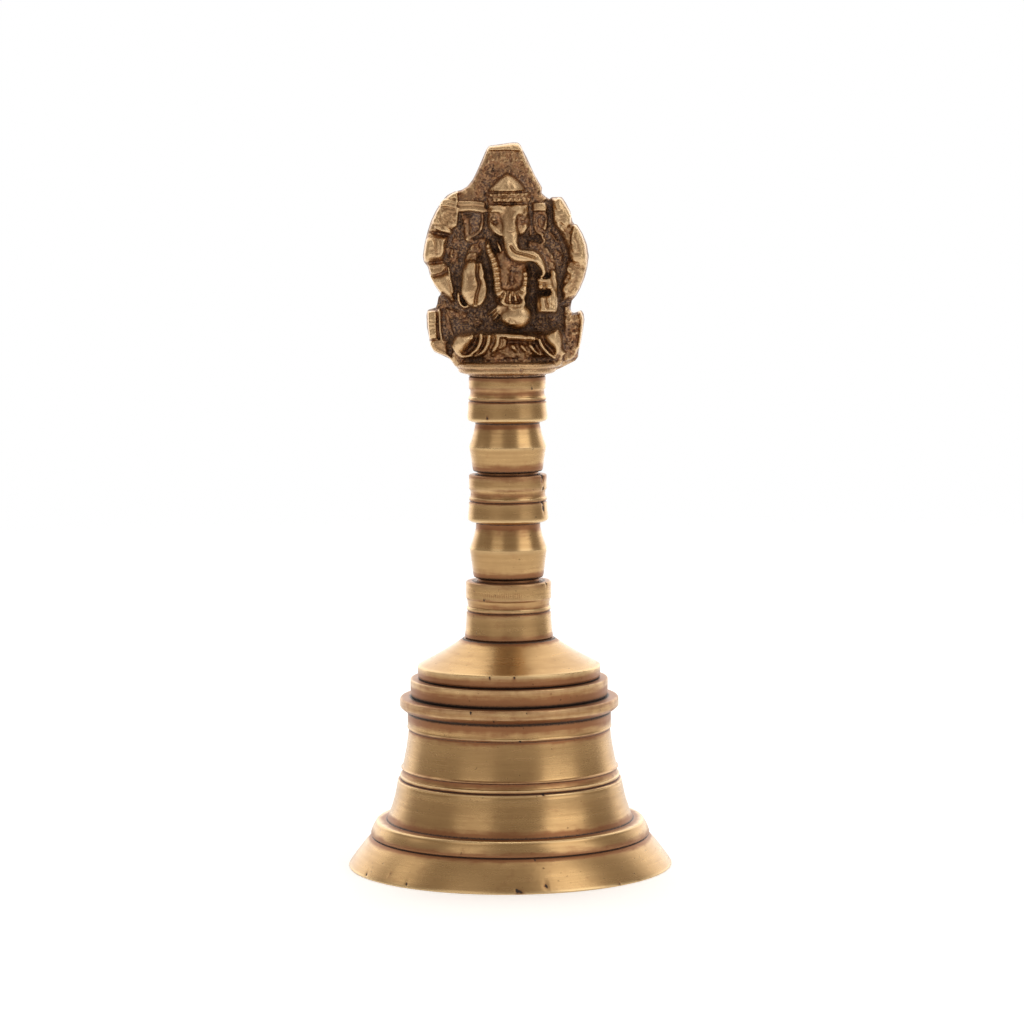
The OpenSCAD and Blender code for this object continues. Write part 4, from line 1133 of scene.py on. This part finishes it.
def finial_mesh(name):
    """The carved front, a plain back and the turned foot as one closed mesh, from a grid of distances."""
    r = Relief()
    for carve in CARVINGS:
        carve(r)
    front = np.maximum(r.proud, -0.9)
    front = 0.72 * blur(front, 0.14, r.step) + 0.28 * blur(front, 0.45, r.step) + 0.12 * r.swell
    rough = blur(r.rough, 0.2, r.step)
    front += (0.02 + 0.1 * rough) * r.fine + (0.02 + 0.08 * rough) * r.coarse
    w, inside = r.depth_inside(np.array(OUTLINE), 60)
    outside = np.full(front.shape, 3.0)
    outside[w] = -inside - 0.15
    rim = np.exp(-np.clip(-outside - 0.5, 0, None) ** 2 / 1.6) * (r.hh > 4)
    ripples = np.sin(1.9 * r.hh + 0.5 * r.xx + 0.8 * r.swell)
    back = 4.1 + 0.65 * rim + 0.03 * ripples + 0.09 * r.swell + 0.05 * r.coarse + 0.035 * r.fine
    back = back - 0.35 * ((r.xx / 17) ** 2 + ((r.hh - 24) / 26) ** 2)
    behind_mid = blur(back, 0.9, r.step)
    shade = blur(r.swell, 2.4, r.step)
    hollow = blur(back, 2.0, r.step) - back
    cloudy = 0.06 * shade / shade.std()
    back_recess = np.clip(0.04 + 1.2 * (behind_mid - back) + 2.2 * hollow + cloudy, 0, 1)
    back_arris = np.clip(0.14 + 1.5 * (back - behind_mid) + 0.4 * rim, 0, 1)

    # recess and wear from how the surface lies against its own blurred copies: grime and painted shade in the
    # hollows, on the low ground and down the flanks away from the crests; worn metal and painted highlight on
    # the crests and edges
    near = blur(front, 0.35, r.step)
    mid = blur(front, 1.1, r.step)
    far = blur(front, 3.0, r.step)
    sunk = 0.6 * (near - front) + 0.4 * (mid - front) + 0.12 * (far - front)
    sunk += 0.16 * np.clip(1.9 - front, -1, 3)
    recess = np.clip(0.66 * sunk + 0.2 + 0.45 * blur(r.dirt_and_shade, 0.3, r.step), 0, 1)
    arris = np.clip(0.2 + 1.05 * (front - near) + 0.5 * (front - mid) + 0.1 * (front - far), 0, 1)

    xs = np.arange(-18.4, 18.4, VOXEL)
    ys = np.arange(-11.6, 5.6, VOXEL)
    hs = np.arange(-0.6, 50.4, VOXEL)
    px, ph = np.meshgrid((xs - r.x[0]) / r.step, (hs - r.h[0]) / r.step, indexing="ij")
    gh, gx = np.gradient(front, r.step)
    steep = np.minimum(np.sqrt(1 + gx**2 + gh**2), 3.5)
    f, g, o, b = (sample(a, px, ph).astype(np.float32) for a in (front, steep, outside, back))
    y = ys[None, :, None].astype(np.float32)
    ahead = (-f[:, None, :] - y) / g[:, None, :]
    behind = y - b[:, None, :]
    solid = smooth_max(ahead, behind, 0.5)
    solid = smooth_max(solid, np.broadcast_to(o[:, None, :], solid.shape), 0.55)

    # pedestal: a turned disc under the casting
    foot = [
        [0, 3.0], [9.9, 3.0], [10.45, 2.88], [10.78, 2.55], [10.85, 2.2], [10.72, 1.88], [10.45, 1.7],
        [10.42, 1.56], [10.56, 1.3], [10.5, 0.95], [10.15, 0.62], [9.5, 0.4], [8.42, 0.28], [8.42, 0.1],
        [8.2, -0.08], [0, -0.1],
    ]
    rr = np.arange(0, 13.4, FOOT_STEP)
    zz = np.arange(-0.7, 5.0, FOOT_STEP)
    gr, gz = np.meshgrid(rr, zz)
    far = nearest(gr, gz, np.array(foot))[0]
    disc = np.where(enclosed(gr, gz, np.array(foot + foot[:1])), -far, far).astype(np.float32)
    low = hs < FOOT_LIMIT
    reach = np.hypot(xs[:, None], ys[None, :])
    pr = np.repeat((reach / FOOT_STEP)[:, :, None], low.sum(), axis=2)
    pz = np.broadcast_to(((hs[low] - zz[0]) / FOOT_STEP)[None, None, :], pr.shape)
    foot_field = sample(disc, np.minimum(pr, len(rr) - 2.0), pz)
    pits = sample(0.6 * r.coarse + 0.4 * r.fine, px[:, low], ph[:, low])
    foot_field = foot_field + 0.045 * np.clip(pits, 0.3, 3)[:, None, :]
    solid[:, :, low] = -smooth_max(-solid[:, :, low], -foot_field.astype(np.float32), 0.25)

    grid = openvdb.FloatGrid(3.0)
    grid.copyFromArray(np.clip(solid, -3, 3).astype(np.float32))
    points, quads = grid.convertToQuads(isovalue=0.0)
    points = points * VOXEL + np.array([xs[0], ys[0], hs[0]])
    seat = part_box("deity_finial")[0].z / MM + 0.1
    obj = mesh_object(name, (points + np.array([0, 0, seat])) * MM, quads[:, ::-1])
    vx = (points[:, 0] - r.x[0]) / r.step
    vh = (points[:, 2] - r.h[0]) / r.step
    facing = np.clip((2.6 - points[:, 1]) / 0.8, 0, 1)
    on_disc = (points[:, 2] < 3.0) * np.clip((np.hypot(points[:, 0], points[:, 1]) - 8.0) / 0.8, 0, 1)
    deep = sample(recess, vx, vh) * facing + sample(back_recess, vx, vh) * (1 - facing)
    proud = sample(arris, vx, vh) * facing + sample(back_arris, vx, vh) * (1 - facing)
    ring = np.exp(-(((points[:, 2] - 1.62) / 0.16) ** 2)) + np.exp(-(((points[:, 2] - 0.2) / 0.2) ** 2))
    pitted = np.clip(sample(0.6 * r.coarse + 0.4 * r.fine, vx, vh) - 0.7, 0, 1)
    deep = deep * (1 - on_disc) + on_disc * np.clip(0.02 + 0.42 * ring + 0.5 * pitted, 0, 1)
    # The disc is brightened evenly with the worn colour, as worn metal and painted highlight.
    proud = proud * (1 - on_disc) + on_disc * 0.6
    float_attribute(obj, "recess", deep)
    float_attribute(obj, "arris", proud)
    return obj


# ---------------------------------------------------------------- the object

def build():
    tones = ((0.54, 0.352, 0.162), (0.42, 0.262, 0.118), (0.25, 0.098, 0.046))
    brass = {slot: turned_brass(slot + "_aged", *tones) for slot in ("cup_brass", "handle_brass")}
    steel = screw_metal("threaded_steel")
    washer_steel = plain_metal("washer_steel", (0.5, 0.5, 0.5), (0.32, 0.31, 0.3), 0.4)
    clapper_brass = plain_metal("clapper_brass_dull", (0.5, 0.36, 0.19), (0.27, 0.175, 0.09), 0.42)

    cup_nicks = [
        (-48.6, 1.9, 0.34, 0.2), (-39, 0.9, 0.3, 0.2), (2.5, 0.7, 0.42, 0.25), (4, 0.5, 0.3, 0.2),
        (12.5, 1.6, 0.34, 0.2), (10, 6.2, 0.3, 0.15), (11.5, 6.0, 0.2, 0.12), (8.8, 36.3, 0.26, 0.15),
        (5.8, 30.2, 0.24, 0.12), (-62, 0.8, 0.3, 0.2), (41, 0.5, 0.26, 0.2), (-8, 34.6, 0.24, 0.12),
        (-20, 36.5, 0.22, 0.12), (-29, 33.8, 0.2, 0.1), (3.2, 43.4, 0.28, 0.15), (-12, 43.5, 0.2, 0.1),
        (17, 19.0, 0.28, 0.1), (-71, 7.9, 0.24, 0.12), (118, 1, 0.4, 0.25), (170, 0.9, 0.3, 0.2),
        (-140, 1.2, 0.34, 0.2), (-104, 36.4, 0.3, 0.15), (146, 40.5, 0.3, 0.15),
    ]
    cup_stains = [
        (9.9, 49.5, 1.0, 0.9), (19.5, 40.95, 1.9, 0.95), (21.25, 36.95, 2.7, 0.95), (22.15, 33.7, 2.3, 0.8),
        (21.85, 29.9, 0.7, 0.7), (23.3, 21.2, 0.6, 0.7), (23.75, 19.1, 0.5, 0.8), (26.75, 10.15, 1.5, 0.75),
        (30.0, 6.66, 1.2, 0.85), (22.9, 34.2, 0.7, 0.7),
    ]
    collar_nicks = [(62, 61.8, 0.3, 0.15), (-35, 58.6, 0.22, 0.1)]
    collar_stains_and_shadow = [
        # The last entry paints shadow on the lit top ledge under the joint gap; the others are stains.
        (9.5, 49.8, 1.2, 0.75), (8.95, 55.55, 0.6, 0.7), (9.1, 58.4, 0.5, 0.4), (7.4, 62.1, 1.6, 1.3),
    ]
    collar_chatter = (58.8, 60.6, 62, 0.05)
    lower = segment_section(62.8, 85.15, 8.4, 3.05, 0.9, 6.4, 3.2, 6.6)
    lower_nicks = [
        (63, 85.0, 0.5, 0.35), (60, 83.6, 0.3, 0.2), (66, 82.2, 0.4, 0.25), (63, 79.2, 0.4, 0.25),
        (64, 78.0, 0.5, 0.2),
    ]
    lower_stains_and_shadow = [
        # The entry at height 85.15 paints shadow on the segment's top ledge under the joint gap; the others
        # are stains.
        (7.4, 62.9, 1.8, 0.72), (8.3, 79.45, 0.6, 0.7), (7.0, 74.3, 0.8, 0.7), (7.0, 85.15, 1.5, 1.3),
        (8.35, 82.1, 0.5, 0.4),
    ]
    upper = segment_section(85.8, 106.38, 8.28, 2.6, 0.3, 5.5, 3.2, 0)
    upper_nicks = [(-30, 97.6, 0.24, 0.1), (40, 103.9, 0.24, 0.1)]
    upper_stains = [
        (7.4, 85.9, 1.8, 0.75), (8.25, 101.1, 0.6, 0.7), (7.0, 96.2, 0.8, 0.7), (8.3, 106.3, 0.9, 0.8),
        (8.25, 103.9, 0.5, 0.4),
    ]
    pieces = [
        ("bell_cup", "cup_turned", "cup_brass", cup_section(), 480, cup_nicks, cup_stains, None),
        (
            "base_collar", "base_collar_turned", "handle_brass",
            base_collar_section(), 640, collar_nicks, collar_stains_and_shadow, collar_chatter,
        ),
        (
            "lower_handle_segment", "lower_segment_turned", "handle_brass",
            lower, 224, lower_nicks, lower_stains_and_shadow, None,
        ),
        (
            "upper_handle_segment", "upper_segment_turned", "handle_brass",
            upper, 224, upper_nicks, upper_stains, None,
        ),
    ]
    for node, name, slot, points, segments, nicks, stains_and_shadows, chatter in pieces:
        obj = lathe(name, node, points, segments, nicks, stains_and_shadows, chatter, seed=len(name))
        obj.data.materials.append(brass[slot])
        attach(obj, "bell")
        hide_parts(node)

    finial = finial_mesh("deity_finial_cast")
    finial.data.materials.append(cast_brass("antique_brass_cast"))
    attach(finial, "bell")
    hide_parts("deity_finial")

    looks = {
        "handle_stud": steel, "clapper_eye_bolt": steel, "crown_washer": washer_steel,
        "clapper_link": clapper_brass, "clapper_shank": clapper_brass, "clapper_ball": clapper_brass,
    }
    for node, material in looks.items():
        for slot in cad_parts[node].material_slots:
            slot.material = material


TABLE_RADIUS = 0.9


def window(n, value, low, rise, high, fall):
    """1 between low + rise and high - fall, 0 outside low to high, with soft edges."""
    return n.math("MULTIPLY", n.step(value, low, low + rise), n.step(value, high - fall, high, 1.0, 0.0))


def studio():
    """Pale round table that fades into a white room; the room has a bright wall behind the bell, a large
    soft window in front on the right and a weaker one on the left."""
    world = bpy.data.worlds.new("studio")
    bpy.context.scene.world = world
    world.use_nodes = True
    n = Nodes.__new__(Nodes)
    n.tree = world.node_tree
    direction = n.new("ShaderNodeTexCoord").outputs["Generated"]
    split = n.new("ShaderNodeSeparateXYZ")
    n.link(direction, split.inputs[0])
    degrees = 180 / math.pi
    to_front = n.math("MULTIPLY", split.outputs[1], -1.0)
    turn = n.math("MULTIPLY", n.math("ARCTAN2", split.outputs[0], to_front), degrees)
    rise = n.math("MULTIPLY", n.math("ARCSINE", split.outputs[2]), degrees)
    away = n.math("ABSOLUTE", turn)
    lamps = (
        (n.step(away, 112.0, 138.0), (-95, 20, 91, 1), 1.4),
        (window(n, turn, 34.0, 5.0, 86.0, 14.0), (4, 14, 76, 14), 1.5),
        (window(n, turn, -62.0, 10.0, -14.0, 9.0), (6, 18, 58, 16), 0.62),
        (window(n, turn, -118.0, 8.0, -88.0, 8.0), (26, 10, 56, 10), 1.0),
        (n.step(away, 30.0, 80.0, 1.0, 0.0), (-90, 10, 4, 12), 0.3),
        (n.step(rise, 66.0, 84.0), (-90, 1, 91, 1), 0.5),
    )
    total = 0.0
    for across, (low, soft, high, fade), strength in lamps:
        lamp = n.math("MULTIPLY", across, window(n, rise, low, soft, high, fade))
        total = n.math("MULTIPLY_ADD", lamp, strength, total)
    lit = n.tree.nodes["Background"]
    lit.inputs[0].default_value = colour(1.0, 0.985, 0.96)
    n.link(total, lit.inputs[1])
    room = n.new("ShaderNodeBackground")
    room.inputs[0].default_value = colour(1.0, 0.87, 0.76)
    room.inputs[1].default_value = 0.42
    both = n.new("ShaderNodeAddShader")
    n.link(lit.outputs[0], both.inputs[0])
    n.link(room.outputs[0], both.inputs[1])
    plain = n.new("ShaderNodeBackground")
    plain.inputs[0].default_value = colour(1, 1, 1)
    seen = n.new("ShaderNodeLightPath").outputs["Is Camera Ray"]
    pick = n.new("ShaderNodeMixShader")
    n.link(seen, pick.inputs[0])
    n.link(both.outputs[0], pick.inputs[1])
    n.link(plain.outputs[0], pick.inputs[2])
    n.link(pick.outputs[0], n.tree.nodes["World Output"].inputs[0])

    around = np.linspace(0, 2 * math.pi, 96, endpoint=False)
    rim = [(TABLE_RADIUS * math.cos(a), TABLE_RADIUS * math.sin(a), 0) for a in around]
    mesh = bpy.data.meshes.new("floor")
    mesh.from_pydata(rim, [], [list(range(len(rim)))])
    floor = bpy.data.objects.new("floor", mesh)
    bpy.context.scene.collection.objects.link(floor)
    n = Nodes("stage_white")
    n.surface(base_color=colour(0.9, 0.9, 0.9), roughness=0.8)
    n.surface(emission_color=colour(1, 1, 1), emission_strength=0.26)
    place = n.new("ShaderNodeTexCoord").outputs["Object"]
    reach = n.new("ShaderNodeVectorMath", operation="LENGTH")
    n.link(place, reach.inputs[0])
    underneath = n.new("ShaderNodeNewGeometry").outputs["Backfacing"]
    fade = n.step(reach.outputs["Value"], 0.2, 0.85, 1.0, 0.0)
    n.surface(alpha=n.math("SUBTRACT", fade, underneath, clamp=True))
    floor.data.materials.append(n.material)
    bpy.context.scene.view_settings.view_transform = "Standard"


camera()
build()
studio()
